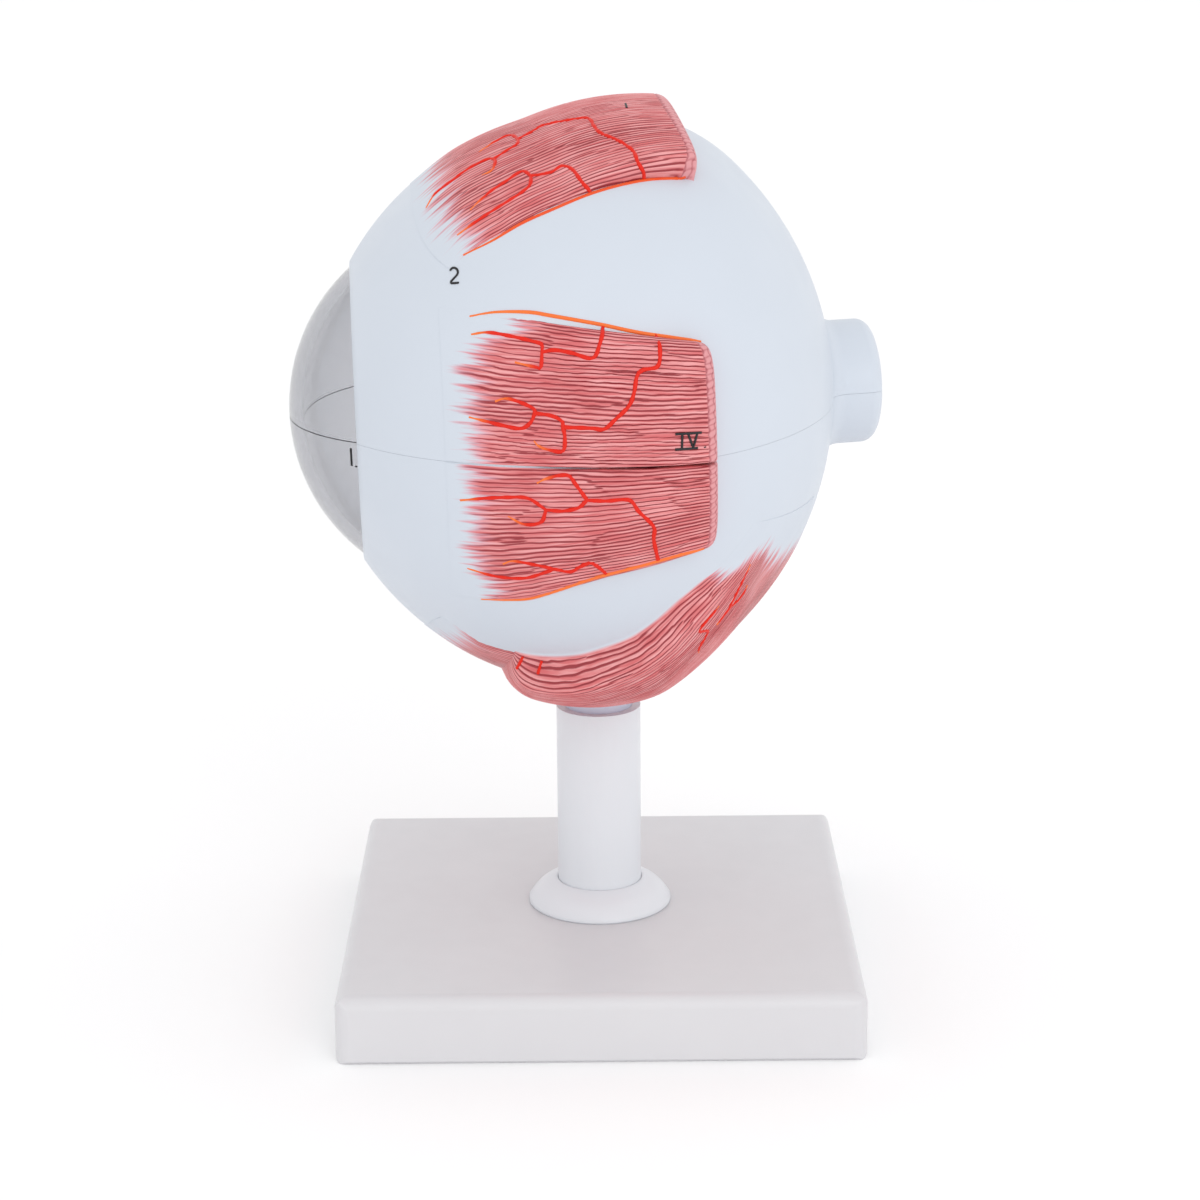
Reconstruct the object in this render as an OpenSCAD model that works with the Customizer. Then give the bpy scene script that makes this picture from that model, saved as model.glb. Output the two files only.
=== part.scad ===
// Anatomy model of a left human eye, about five times life size, on a square stand.
// The origin is the middle of the base's underside, +Z is up, the cornea faces -X.
// Inside the eye the shapes are drawn in the eye's own frame: its optical axis is X,
// the seam between the two halves is the plane Z = 0, and the temple side is -Y.

/* [Eye on its stand] */
// Height of the seam's middle above the ground
eye_height = 139.5; // [136:0.5:170]
// How far the eye is swivelled on the stem, cornea towards the viewer
eye_turn = 4; // [-30:1:30]
// How far the cornea dips below level
eye_tilt = 1.2; // [0:0.1:4]

/* [Globe] */
// Radius of the front two thirds of the globe
front_radius = 66; // [65:0.5:68]
// How much larger the radius of the globe's flatter back is
rear_extra = 8; // [6:0.5:11]
// How much smaller the radius of the belt that blends front and back is
belt_less = 26; // [23:1:29]
// Distance between the centres of the front and the back
centre_gap = 20.7; // [19.5:0.1:22]
// Fall of the line through those two centres, towards the nerve
axis_fall = 4.4; // [0:0.1:6]
// Place of the front sphere's centre along the optical axis
globe_x = 1.25; // [0:0.25:3]
// Wall of the white outer shell
sclera_wall = 4; // [3.5:0.1:4.5]
// Joint between the upper and the lower half
seam_gap = 0.3; // [0.2:0.1:0.6]

/* [Cornea] */
// Outer radius of the clear dome
cornea_radius = 42.8; // [40:0.1:46]
// Wall of the clear dome
cornea_wall = 3; // [2:0.1:3.4]
// Radius of the opening that the dome is set in
limbus_radius = 33.5; // [31:0.1:34.5]
// Width of the flat rim round that opening
rim_width = 0.8; // [0.4:0.1:1.2]
// How far the dome's edge sits back from the rim
cornea_set = 0.5; // [0.2:0.1:1]
// Length of the skirt that is glued into the opening
skirt_length = 4.6; // [3:0.1:5]

/* [Optic nerve] */
// Radius of the nerve's sheath
nerve_radius = 14.5; // [12:0.5:17]
// How far the nerve stands out of the globe
nerve_reach = 11.1; // [9:0.1:20]
// Angle of the nerve towards the nose side
nerve_angle = 6.3; // [0:0.1:9]
// Fillet between the nerve and the globe
nerve_fillet = 4; // [3:0.5:5]
// Rounding of the nerve's cut end
nerve_edge = 3; // [1:0.5:3.5]
// Radius of the nerve fibres inside the sheath
core_radius = 9; // [6:0.5:9.5]

/* [Eye muscles] */
// Thickness of a muscle where its front end fades out
muscle_skin = 0.4; // [0.3:0.1:0.8]
// How far the side muscles' crowns lie behind the globe's centre
crown_back = 7.75; // [6:0.25:9]
// Rise of the side muscles at their crown
side_rise = 3.2; // [2:0.1:4]
// How far the upper muscle's crown lies behind the globe's centre
upper_back = 9.2; // [8:0.2:10]
// Rise of the upper muscle at its crown
upper_rise = 3.7; // [3:0.1:5]
// How far the lower straight muscle's crown lies behind the globe's centre
lower_back = 3; // [2:0.25:5]
// Rise of the lower straight muscle, under the slanted one
lower_rise = 1; // [0.5:0.1:1.5]
// Front end of the side muscles
side_front = -31; // [-33:0.5:-27]
// Cut rear end of the straight muscles
muscle_rear = 20.5; // [18:0.5:23]
// Height of the side muscles above the seam, at the front
side_top_front = 31.5; // [28:0.5:33]
// Height of the side muscles above the seam, at the rear
side_top_rear = 24.4; // [20:0.2:27]
// Depth of the side muscles below the seam, at the front
side_low_front = 33.5; // [30:0.5:35]
// Depth of the side muscles below the seam, at the rear
side_low_rear = 20.4; // [17:0.2:24]
// Half width of the upper and lower muscle, at the front
upright_front = 41; // [38:0.5:42]
// Half width of the upper and lower muscle, at the rear
upright_rear = 33.5; // [30:0.5:36]
// Front end of the upper muscle
superior_front = -35; // [-38:0.5:-31]
// Front end of the lower straight muscle
inferior_front = -37; // [-39:0.5:-33]
// Radius of the slanted muscle's crown
oblique_radius = 46.3; // [45:0.1:48]
// Rise of the slanted muscle at its crown
oblique_rise = 6.9; // [5.5:0.1:7.5]

/* [Coats and lens] */
// Wall of the dark middle coat
choroid_wall = 2; // [1.5:0.1:2.2]
// Wall of the inner coat
retina_wall = 1.2; // [0.8:0.1:1.4]
// How far the inner coat starts behind the middle coat's front edge
retina_set = 21; // [17:1:29]
// Wall of the hollow vitreous body
vitreous_wall = 2; // [1.5:0.1:3]
// How far the middle coat's front edge, where the iris sits, lies behind the rim
iris_set = 8.1; // [7.7:0.1:8.6]
// Thickness of the iris
iris_wall = 1.6; // [1:0.1:2]
// Radius of the pupil
pupil_radius = 11; // [7:0.5:14]
// How far the ciliary body reaches inwards from the middle coat
ciliary_width = 9.1; // [7.6:0.1:9.3]
// Gap between the lens and the ciliary body
lens_clear = 1.5; // [1:0.1:4]
// Half thickness of the lens at its rim
lens_rim = 0.5; // [0.3:0.1:0.8]
// How far the lens's rim lies behind the middle coat's front edge
lens_set = 10.5; // [10:0.1:11]
// Radius of the lens's flatter front face
lens_front_radius = 45; // [42:1:60]
// Radius of the lens's rounder back face
lens_back_radius = 30; // [28:0.5:36]

/* [Stand] */
// Width of the base, along X
base_width = 120; // [100:1:160]
// Depth of the base, along Y
base_depth = 120; // [100:1:160]
// Height of the base
base_height = 16; // [14:0.5:22]
// Rounding of the base's upright and top edges
base_edge = 3.3; // [2:0.1:4]
// Chamfer of the base's lower edge
base_chamfer = 0.8; // [0.4:0.1:1.2]
// Wall and ribs of the moulded base
base_wall = 3; // [2.5:0.1:4]
// Radius of the boss that holds the stem
boss_radius = 15; // [13:0.5:18]
// Radius of the stem
stem_radius = 10; // [9.5:0.1:11]
// Wall of the stem
stem_wall = 2; // [1.5:0.1:2.3]
// Gap between the stem's mouth and the globe
stem_clear = 7.9; // [7.5:0.1:12]
// Radius of the collar where it meets the base
collar_radius = 17.1; // [15:0.1:20]
// Height of the collar
collar_height = 6; // [4:0.5:9]
// Depth of the peg in the stem
peg_depth = 28; // [20:1:32]
// Thickness of the plug that the peg stands on
plug_height = 6; // [4:0.5:10]

/* [Fits] */
// Gap between glued faces
glue_gap = 0.1; // [0.05:0.05:0.2]
// Gap between coats that lift out of each other
layer_gap = 0.5; // [0.4:0.1:0.6]
// Radial clearance of a turning or sliding round fit
run_gap = 0.06; // [0.03:0.01:0.1]
// Radius of a locating pin
pin_radius = 1; // [0.8:0.1:1.1]
// Height of a locating pin above the lower half
pin_reach = 3; // [2:0.5:3]

/* [Hidden] */

// Facets of the preview; every round face is a true one in the solids
facets = 96;
// Angle between the points of a drawn arc
arc_step = 4;
// Half of a box that holds the whole eye
room = 120;
// Upper and lower half of the eye
UPPER = 1;
LOWER = -1;

function squared(v) = v * v;
// Height of a circle of radius r at distance d from its middle
function chord(r, d) = sqrt(squared(r) - squared(d));
// Points of an arc about [cr, cs], from angle a0 to angle a1
function arc(r, cr, cs, a0, a1) =
  let (n = max(2, ceil(abs(a1 - a0) / arc_step)))
  [for (i = [0:n]) let (a = a0 + (a1 - a0) * i / n) [cr + r * cos(a), cs + r * sin(a)]];

// Globe: three arcs that run smoothly into each other, turned about one axis
rear_radius = front_radius + rear_extra;
belt_radius = front_radius - belt_less;
front_arm = front_radius - belt_radius;
rear_arm = rear_radius - belt_radius;
belt_s = (squared(rear_arm) - squared(front_arm) - squared(centre_gap)) / (2 * centre_gap);
belt_r = chord(front_arm, belt_s);
front_end = atan2(belt_s, belt_r);
rear_end = atan2(belt_s + centre_gap, belt_r);
rear_x = globe_x - centre_gap * cos(axis_fall);

// Rim of the opening and the dome in it
rim_radius = limbus_radius + rim_width;
rim_x = globe_x - chord(front_radius, rim_radius);
dome_edge = limbus_radius - glue_gap;
dome_x = rim_x + cornea_set + chord(cornea_radius, dome_edge);
dome_inner = cornea_radius - cornea_wall;
skirt_inner = dome_edge - cornea_wall;
skirt_end = rim_x + cornea_set + skirt_length;

// Optic nerve
nerve_end = rear_radius + nerve_reach;
fillet_sink = 0.5;
fillet_r = nerve_radius + nerve_fillet;
fillet_s = chord(rear_radius - fillet_sink + nerve_fillet, fillet_r);
fillet_turn = atan2(fillet_s, fillet_r);

// Depths of the coats below the globe's surface
choroid_depth = sclera_wall + layer_gap;
retina_depth = choroid_depth + choroid_wall + glue_gap;
vitreous_depth = retina_depth + retina_wall + layer_gap;
ciliary_depth = choroid_depth + choroid_wall + glue_gap;
choroid_front = rim_x + iris_set;
retina_front = choroid_front + retina_set;
iris_x = choroid_front - iris_wall;
iris_radius = chord(front_radius - choroid_depth - choroid_wall / 2, globe_x - choroid_front)
  - layer_gap;
ciliary_length = 9;
ciliary_crest = 2.5;
ciliary_radius = chord(front_radius - ciliary_depth, globe_x - choroid_front) - ciliary_width;
lens_radius = ciliary_radius - lens_clear;
lens_x = choroid_front + lens_set;
vitreous_set = 2;
vitreous_front = choroid_front + ciliary_length + vitreous_set;
fossa_radius = lens_back_radius + 0.3;
mouth_radius = chord(front_radius - vitreous_depth - vitreous_wall, globe_x - vitreous_front)
  - glue_gap;
lens_back_x = lens_x + lens_rim - chord(lens_back_radius, lens_radius);
lens_front_x = lens_x - lens_rim + chord(lens_front_radius, lens_radius);

// Stand
floor_height = base_wall;
stem_top = eye_height - front_radius - stem_clear;
peg_radius = stem_radius - stem_wall - run_gap;
peg_foot = stem_top - peg_depth;
peg_top = eye_height - front_radius + sclera_wall / 2;
collar_lip = 1;
collar_shoulder = 0.6;

// Locating pins: two in the shell's wall at its widest, one in the nerve's sheath
pin_depth = 4;
pin_spots = [
  [globe_x, front_radius - sclera_wall / 2],
  [globe_x, sclera_wall / 2 - front_radius],
  [rear_x + (nerve_end - nerve_reach / 2) * cos(nerve_angle)
     - (nerve_radius + core_radius) / 2 * sin(nerve_angle),
   (nerve_end - nerve_reach / 2) * sin(nerve_angle)
     + (nerve_radius + core_radius) / 2 * cos(nerve_angle)]
];

// Outlines of the muscles, seen square on
front_corner = [5, 8];
side_outline = [
  [side_front, side_top_front], [muscle_rear, side_top_rear],
  [muscle_rear, -side_low_rear], [side_front, -side_low_front]
];
function upright_outline(front_x) = [
  [front_x, upright_front - front_corner[1]], [front_x + front_corner[0], upright_front],
  [muscle_rear, upright_rear], [muscle_rear, -upright_rear],
  [front_x + front_corner[0], -upright_front], [front_x, front_corner[1] - upright_front]
];
// The slanted lower muscle in the plane under it: its near edge, its fan and its far edge,
// in hundredths of the front radius
oblique_lean = [-30, 0, 20];
oblique_crown = [-0.16, -0.6, -0.785];
oblique_shift = front_radius + oblique_rise - oblique_radius;
// The ball that thins this muscle towards its fan
oblique_taper = [-0.47, -0.045, 0] * front_radius;
oblique_taper_radius = 1.206 * front_radius;
oblique_outline = [for (p = [
  [-47, -4.5], [-35, -15], [-23, -30], [-10.5, -48.5], [-3, -56], [20, -53], [39, -33],
  [53, -12], [42, 12], [27, 36], [12, 64], [-6, 85], [-33, 73], [-42, 33]
]) p * front_radius / 100];
// The slanted upper muscle's tendon, from under the upper muscle to its cut end
tendon_outline = [for (p = [[3, 54.5], [21, 53], [9, 85], [-6, 82]]) p * front_radius / 100];
tendon_rise = 2;

// Moves a shape from the eye's frame to its place on the stand
module place_eye() {
  translate([0, 0, eye_height]) rotate([0, -eye_tilt, eye_turn]) children();
}

// Keeps the upper or the lower half of a shape
module half(side) {
  intersection() {
    children();
    translate([-room, -room, side == UPPER ? seam_gap / 2 : -seam_gap / 2 - room])
      cube([2 * room, 2 * room, room]);
  }
}

// The globe's outer form, drawn in by depth
module globe(depth) {
  translate([globe_x, 0, 0]) rotate([0, 90 + axis_fall, 0])
    rotate_extrude($fn = facets) polygon(concat(
      arc(front_radius - depth, 0, 0, -90, front_end),
      arc(belt_radius - depth, belt_r, belt_s, front_end, rear_end),
      arc(rear_radius - depth, 0, -centre_gap, rear_end, 90)
    ));
}

// Everything in front of a plane across the optical axis
module ahead_of(x) {
  translate([x - 2 * room, -room, -room]) cube([2 * room, 2 * room, 2 * room]);
}

// A round bar along the optical axis
module axis_bar(r, x0, x1) {
  translate([x0, 0, 0]) rotate([0, 90, 0]) cylinder(r = r, h = x1 - x0, $fn = facets);
}

module place_nerve() {
  translate([rear_x, 0, 0]) rotate([0, 0, nerve_angle]) children();
}

// Sheath of the nerve, with a fillet at the globe and a rounded end
module nerve_sheath() {
  foot = arc(nerve_fillet, fillet_r, fillet_s, 180 + fillet_turn, 180);
  tip = arc(nerve_edge, nerve_radius - nerve_edge, nerve_end - nerve_edge, 0, 90);
  place_nerve() rotate([0, 90, 0]) rotate_extrude($fn = facets)
    polygon(concat([[0, foot[0][1] - 1], [foot[0][0], foot[0][1] - 1]], foot, tip, [[0, nerve_end]]));
}

module nerve_bar(r) {
  place_nerve() axis_bar(r, rear_radius - 2 * sclera_wall, nerve_end + glue_gap);
}

module pin_bars(r, z0, z1) {
  for (spot = pin_spots)
    translate([spot[0], spot[1], z0]) cylinder(r = r, h = z1 - z0, $fn = 32);
}

// Room for the peg in the pieces it passes through
module peg_space() {
  translate([0, 0, peg_foot])
    cylinder(r = peg_radius + glue_gap, h = peg_top - peg_foot, $fn = facets);
}

// White outer shell with the nerve's sheath
module sclera_half(side) {
  difference() {
    half(side) union() {
      globe(0);
      nerve_sheath();
    }
    globe(sclera_wall);
    ahead_of(rim_x);
    axis_bar(limbus_radius, rim_x - 1, rim_x + 3 * sclera_wall);
    nerve_bar(core_radius + glue_gap);
  }
}

module sclera_lower() {
  color("aliceblue") difference() {
    place_eye() difference() {
      sclera_half(LOWER);
      pin_bars(pin_radius + glue_gap / 2, -pin_depth, seam_gap);
    }
    peg_space();
  }
}

module sclera_upper() {
  color("aliceblue") place_eye() difference() {
    sclera_half(UPPER);
    pin_bars(pin_radius + run_gap, -seam_gap, pin_reach + seam_gap);
  }
}

// Clear dome with a skirt that fits the opening
module cornea_half(side) {
  outer = arc(cornea_radius, 0, dome_x, -90, -acos(dome_edge / cornea_radius));
  inner = arc(dome_inner, 0, dome_x, -acos(skirt_inner / dome_inner), -90);
  color("lightsteelblue", 0.5) place_eye() half(side) rotate([0, 90, 0])
    rotate_extrude($fn = facets)
      polygon(concat(outer, [[dome_edge, skirt_end], [skirt_inner, skirt_end]], inner));
}

module cornea_lower() { cornea_half(LOWER); }
module cornea_upper() { cornea_half(UPPER); }

// Nerve fibres inside the sheath
module nerve_core_half(side) {
  color("wheat") place_eye() half(side) difference() {
    place_nerve() axis_bar(core_radius, rear_radius - 2 * sclera_wall, nerve_end);
    globe(sclera_wall);
  }
}

module nerve_core_lower() { nerve_core_half(LOWER); }
module nerve_core_upper() { nerve_core_half(UPPER); }

// Form of a straight muscle: children is its outline's prism, a shifted ball its crown
module muscle_form(shift) {
  intersection() {
    union() {
      globe(-muscle_skin);
      translate([globe_x, 0, 0] + shift) sphere(r = front_radius, $fn = facets);
    }
    children();
  }
}

// Leaves of a muscle's form what lies on the globe
module on_globe() {
  difference() {
    children();
    globe(-glue_gap / 2);
  }
}

module side_muscle(side) {
  half(side) on_globe() muscle_form([crown_back, -side_rise, 0])
    rotate([90, 0, 0]) translate([0, 0, front_radius / 3])
      linear_extrude(front_radius) polygon(side_outline);
}

module lateral_rectus_upper() { color("indianred") place_eye() side_muscle(UPPER); }
module lateral_rectus_lower() { color("indianred") place_eye() side_muscle(LOWER); }

module medial_rectus_upper() {
  color("indianred") place_eye() mirror([0, 1, 0]) side_muscle(UPPER);
}

module medial_rectus_lower() {
  color("indianred") place_eye() mirror([0, 1, 0]) side_muscle(LOWER);
}

module superior_rectus() {
  color("indianred") place_eye() on_globe() muscle_form([upper_back, 0, upper_rise])
    translate([0, 0, front_radius / 3])
      linear_extrude(front_radius) polygon(upright_outline(superior_front));
}

module superior_oblique() {
  color("indianred") place_eye() difference() {
    intersection() {
      globe(-tendon_rise);
      translate([0, 0, front_radius / 3]) linear_extrude(front_radius) polygon(tendon_outline);
    }
    globe(-glue_gap / 2);
    translate([0, 0, front_radius / 3])
      linear_extrude(front_radius) polygon(upright_outline(superior_front));
  }
}

// Form of the lower straight muscle, in the eye's frame
module inferior_form() {
  muscle_form([lower_back, 0, -lower_rise])
    translate([0, 0, -4 / 3 * front_radius])
      linear_extrude(front_radius) polygon(upright_outline(inferior_front));
}

module inferior_rectus() {
  color("indianred") difference() {
    place_eye() on_globe() inferior_form();
    peg_space();
  }
}

// Slanted lower muscle, which crosses under the straight one
module inferior_oblique() {
  color("indianred") difference() {
    place_eye() difference() {
      intersection() {
        translate([globe_x, 0, 0] + oblique_shift * oblique_crown)
          sphere(r = oblique_radius, $fn = facets);
        translate([globe_x, 0, 0] + oblique_taper) sphere(r = oblique_taper_radius, $fn = facets);
        rotate(oblique_lean) translate([0, 0, -3 / 2 * front_radius])
          linear_extrude(front_radius) polygon(oblique_outline);
      }
      globe(-glue_gap / 2);
      inferior_form();
    }
    peg_space();
  }
}

module locating_pins() {
  color("silver") place_eye() pin_bars(pin_radius, -pin_depth, pin_reach);
}

// Dark middle coat, open at the front
module choroid_half(side) {
  color("saddlebrown") place_eye() half(side) difference() {
    globe(choroid_depth);
    globe(choroid_depth + choroid_wall);
    ahead_of(choroid_front);
  }
}

module choroid_lower() { choroid_half(LOWER); }
module choroid_upper() { choroid_half(UPPER); }

// Inner coat, which ends at a line behind the ciliary body
module retina_half(side) {
  color("sandybrown") place_eye() half(side) difference() {
    globe(retina_depth);
    globe(retina_depth + retina_wall);
    ahead_of(retina_front);
  }
}

module retina_lower() { retina_half(LOWER); }
module retina_upper() { retina_half(UPPER); }

// Ring of muscle round the lens
module ciliary_half(side) {
  color("sienna") place_eye() half(side) intersection() {
    rotate([0, 90, 0]) rotate_extrude($fn = facets) polygon([
      [ciliary_radius + ciliary_crest, choroid_front + glue_gap],
      [front_radius, choroid_front + glue_gap],
      [front_radius, choroid_front + ciliary_length],
      [front_radius - 3 * ciliary_length, choroid_front + ciliary_length],
      [ciliary_radius, choroid_front + ciliary_length / 2],
      [ciliary_radius, choroid_front + ciliary_length / 3]
    ]);
    globe(ciliary_depth);
  }
}

module ciliary_lower() { ciliary_half(LOWER); }
module ciliary_upper() { ciliary_half(UPPER); }

module iris_half(side) {
  color("steelblue") place_eye() half(side) difference() {
    axis_bar(iris_radius, iris_x, choroid_front);
    axis_bar(pupil_radius, iris_x - 1, choroid_front + 1);
  }
}

module iris_lower() { iris_half(LOWER); }
module iris_upper() { iris_half(UPPER); }

// Clear hollow body that fills the eye: a ball, open at the front
module vitreous_shell() {
  color("lightcyan", 0.5) place_eye() difference() {
    globe(vitreous_depth);
    globe(vitreous_depth + vitreous_wall);
    ahead_of(vitreous_front);
  }
}

// Dish that closes the ball, with the hollow that the lens lies in
module vitreous_cup() {
  back_r = fossa_radius + vitreous_wall;
  hollow = arc(fossa_radius, 0, lens_back_x, 90,
               asin((vitreous_front - lens_back_x) / fossa_radius));
  back = arc(back_r, 0, lens_back_x,
             asin((vitreous_front + vitreous_wall - lens_back_x) / back_r), 90);
  color("lightcyan", 0.5) place_eye() rotate([0, 90, 0])
    rotate_extrude($fn = facets) polygon(concat(
      hollow, [[mouth_radius, vitreous_front], [mouth_radius, vitreous_front + vitreous_wall]],
      back));
}

// Lens: a flatter front face and a rounder back face
module lens() {
  front = arc(lens_front_radius, 0, lens_front_x, -90, -acos(lens_radius / lens_front_radius));
  back = arc(lens_back_radius, 0, lens_back_x, acos(lens_radius / lens_back_radius), 90);
  color("azure", 0.5) place_eye() rotate([0, 90, 0])
    rotate_extrude($fn = facets) polygon(concat(front, back));
}

// Outline of one side of the base, w wide: a chamfered foot and rounded top corners
module base_side(w) {
  flat = w / 2 - base_edge;
  polygon(concat(
    [[-w / 2 + base_chamfer, 0], [w / 2 - base_chamfer, 0], [w / 2, base_chamfer]],
    arc(base_edge, flat, base_height - base_edge, 0, 90),
    arc(base_edge, -flat, base_height - base_edge, 90, 180),
    [[-w / 2, base_chamfer]]
  ));
}

// Outline of the base from above, with rounded corners
module base_plan() {
  x = base_width / 2 - base_edge;
  y = base_depth / 2 - base_edge;
  polygon(concat(
    arc(base_edge, x, y, 0, 90), arc(base_edge, -x, y, 90, 180),
    arc(base_edge, -x, -y, 180, 270), arc(base_edge, x, -y, 270, 360)
  ));
}

// Moulded base: a hollow block with a cross of ribs and a boss for the stem
module base_plate() {
  pocket_x = (base_width - 3 * base_wall) / 2;
  pocket_y = (base_depth - 3 * base_wall) / 2;
  color("whitesmoke") difference() {
    union() {
      difference() {
        intersection() {
          linear_extrude(base_height) base_plan();
          rotate([90, 0, 0]) translate([0, 0, -base_depth])
            linear_extrude(2 * base_depth) base_side(base_width);
          rotate([90, 0, 90]) translate([0, 0, -base_width])
            linear_extrude(2 * base_width) base_side(base_depth);
        }
        for (sx = [-1, 1], sy = [-1, 1])
          translate([sx * (base_wall + pocket_x) / 2, sy * (base_wall + pocket_y) / 2,
                     (base_height - base_wall) / 2 - 1])
            cube([pocket_x, pocket_y, base_height - base_wall + 2], center = true);
      }
      cylinder(r = boss_radius, h = base_height - base_wall / 2, $fn = facets);
    }
    translate([0, 0, floor_height])
      cylinder(r = stem_radius + run_gap, h = base_height, $fn = facets);
  }
}

// Collar that covers the foot of the stem
module stem_collar() {
  color("white") translate([0, 0, base_height]) rotate_extrude($fn = facets) polygon([
    [stem_radius + run_gap, 0], [collar_radius, 0], [collar_radius, collar_shoulder],
    [stem_radius + collar_lip, collar_height], [stem_radius + run_gap, collar_height]
  ]);
}

module stem_tube() {
  color("white") translate([0, 0, floor_height]) difference() {
    cylinder(r = stem_radius, h = stem_top - floor_height, $fn = facets);
    translate([0, 0, -1])
      cylinder(r = stem_radius - stem_wall, h = stem_top - floor_height + 2, $fn = facets);
  }
}

// Plug glued in the stem, which the peg stands on
module stem_plug() {
  color("gainsboro") translate([0, 0, peg_foot - plug_height])
    cylinder(r = stem_radius - stem_wall - glue_gap / 2, h = plug_height, $fn = facets);
}

// Peg glued in the lower half, which turns and lifts in the stem's mouth
module eye_peg() {
  color("lavender") translate([0, 0, peg_foot])
    cylinder(r = peg_radius, h = peg_top - peg_foot - glue_gap, $fn = facets);
}

base_plate();
stem_collar();
stem_tube();
stem_plug();
eye_peg();
sclera_lower();
cornea_lower();
nerve_core_lower();
lateral_rectus_lower();
medial_rectus_lower();
inferior_rectus();
inferior_oblique();
locating_pins();
sclera_upper();
cornea_upper();
nerve_core_upper();
superior_rectus();
superior_oblique();
lateral_rectus_upper();
medial_rectus_upper();
choroid_lower();
retina_lower();
ciliary_lower();
iris_lower();
choroid_upper();
retina_upper();
ciliary_upper();
iris_upper();
vitreous_shell();
vitreous_cup();
lens();
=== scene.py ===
# %% [markdown]
# # A five-times-life-size eye model on its stand
# The object is a classroom model of a left eye. Its white shell is moulded in an upper and
# a lower half, with painted muscles on it, a clear dome in front and the optic nerve behind.
# It stands on a plastic stem in a square base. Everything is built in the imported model's own
# frame: metres, Z up, the cornea towards -X.

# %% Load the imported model
from math import asin, cos, degrees, pi, radians, sin, sqrt

import bmesh
import bpy
import numpy as np
from mathutils import Matrix, Vector


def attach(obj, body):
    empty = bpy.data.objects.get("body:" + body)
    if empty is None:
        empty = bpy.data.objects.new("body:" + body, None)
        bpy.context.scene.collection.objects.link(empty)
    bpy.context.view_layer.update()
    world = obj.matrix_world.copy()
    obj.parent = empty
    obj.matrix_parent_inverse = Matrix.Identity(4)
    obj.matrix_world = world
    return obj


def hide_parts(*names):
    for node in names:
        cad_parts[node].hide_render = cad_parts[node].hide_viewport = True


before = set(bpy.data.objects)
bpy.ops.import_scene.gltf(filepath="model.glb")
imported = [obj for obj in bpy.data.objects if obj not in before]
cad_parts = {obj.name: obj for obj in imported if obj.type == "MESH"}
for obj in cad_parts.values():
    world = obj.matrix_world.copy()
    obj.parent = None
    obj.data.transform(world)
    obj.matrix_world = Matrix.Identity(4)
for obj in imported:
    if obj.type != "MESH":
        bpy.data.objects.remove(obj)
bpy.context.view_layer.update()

# %% [markdown]
# The shell is easiest to describe in the eye's own frame: X is its optical axis, Z = 0 is the
# seam between the halves and the temple side is -Y. All sizes here are in millimetres. One
# function turns that frame onto the stand and into metres, so no object needs a transform.

# %% The eye's own frame
MM = 0.001
EYE_HEIGHT, EYE_TURN, EYE_TILT = 139.5, 4.0, 1.2
UPPER, LOWER = 1, -1
BODY_OF = {UPPER: "upper_eye", LOWER: "lower_eye"}
COATS_OF = {UPPER: "upper_coats", LOWER: "lower_coats"}
NAME_OF = {UPPER: "upper", LOWER: "lower"}
EYE_ROTATION = np.array(Matrix.Rotation(radians(EYE_TURN), 3, "Z")
                        @ Matrix.Rotation(radians(-EYE_TILT), 3, "Y"))


def on_stand(points):
    """Points of the eye's frame, in mm, as points on the stand, in metres."""
    turned = np.asarray(points, float).reshape(-1, 3) @ EYE_ROTATION.T
    return (turned + [0, 0, EYE_HEIGHT]) * MM


def upright(points):
    """Points of the stand, in mm, in metres."""
    return np.asarray(points, float).reshape(-1, 3) * MM


# %% [markdown]
# The globe isn't one sphere. Its front two thirds are, its back is flatter, and a belt of a
# smaller radius blends the two. The three arcs are turned about an axis that falls a little
# towards the nerve. A ray from the front sphere's centre meets each surface once, so every
# point of the shell, the coats and the muscles can be given as a direction and a height.

# %% The globe's surface as a distance along a direction
FRONT_R, REAR_R, BELT_R, CENTRE_GAP, AXIS_FALL = 66.0, 74.0, 40.0, 20.7, radians(4.4)
CENTRE = np.array([1.25, 0.0, 0.0])
GLOBE_AXIS = np.array([cos(AXIS_FALL), 0.0, -sin(AXIS_FALL)])
BELT_S = ((REAR_R - BELT_R) ** 2 - (FRONT_R - BELT_R) ** 2 - CENTRE_GAP**2) / (2 * CENTRE_GAP)
BELT_C = sqrt((FRONT_R - BELT_R) ** 2 - BELT_S**2)
BELT_START = np.arctan2(BELT_S, BELT_C)
BELT_STOP = np.arctan2(BELT_S + CENTRE_GAP, BELT_C)


def unit(vectors):
    vectors = np.asarray(vectors, float)
    return vectors / np.linalg.norm(vectors, axis=-1, keepdims=True)


def globe_reach(directions, depth=0.0):
    """Distance from CENTRE to the globe's surface, drawn in by depth."""
    along = directions @ GLOBE_AXIS
    across = np.sqrt(np.clip(1 - along**2, 0, None))
    angle = np.arctan2(along, across)
    r = BELT_R - depth
    stop = np.arctan2(BELT_S + r * sin(BELT_STOP), BELT_C + r * cos(BELT_STOP))
    lean = BELT_C * across + BELT_S * along
    belt = lean + np.sqrt(np.clip(r**2 - BELT_C**2 - BELT_S**2 + lean**2, 0, None))
    rear = -CENTRE_GAP * along + np.sqrt((REAR_R - depth) ** 2 - (CENTRE_GAP * across) ** 2)
    return np.where(angle < BELT_START, FRONT_R - depth, np.where(angle < stop, belt, rear))


def globe_point(directions, depth=0.0, height=0.0):
    reach = globe_reach(directions, depth) + height
    return CENTRE + directions * reach[..., None]


def toward(points):
    return unit(np.asarray(points, float) - CENTRE)


def ramp(x, low, high):
    t = np.clip((np.asarray(x, float) - low) / (high - low), 0, 1)
    return t * t * (3 - 2 * t)


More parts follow.
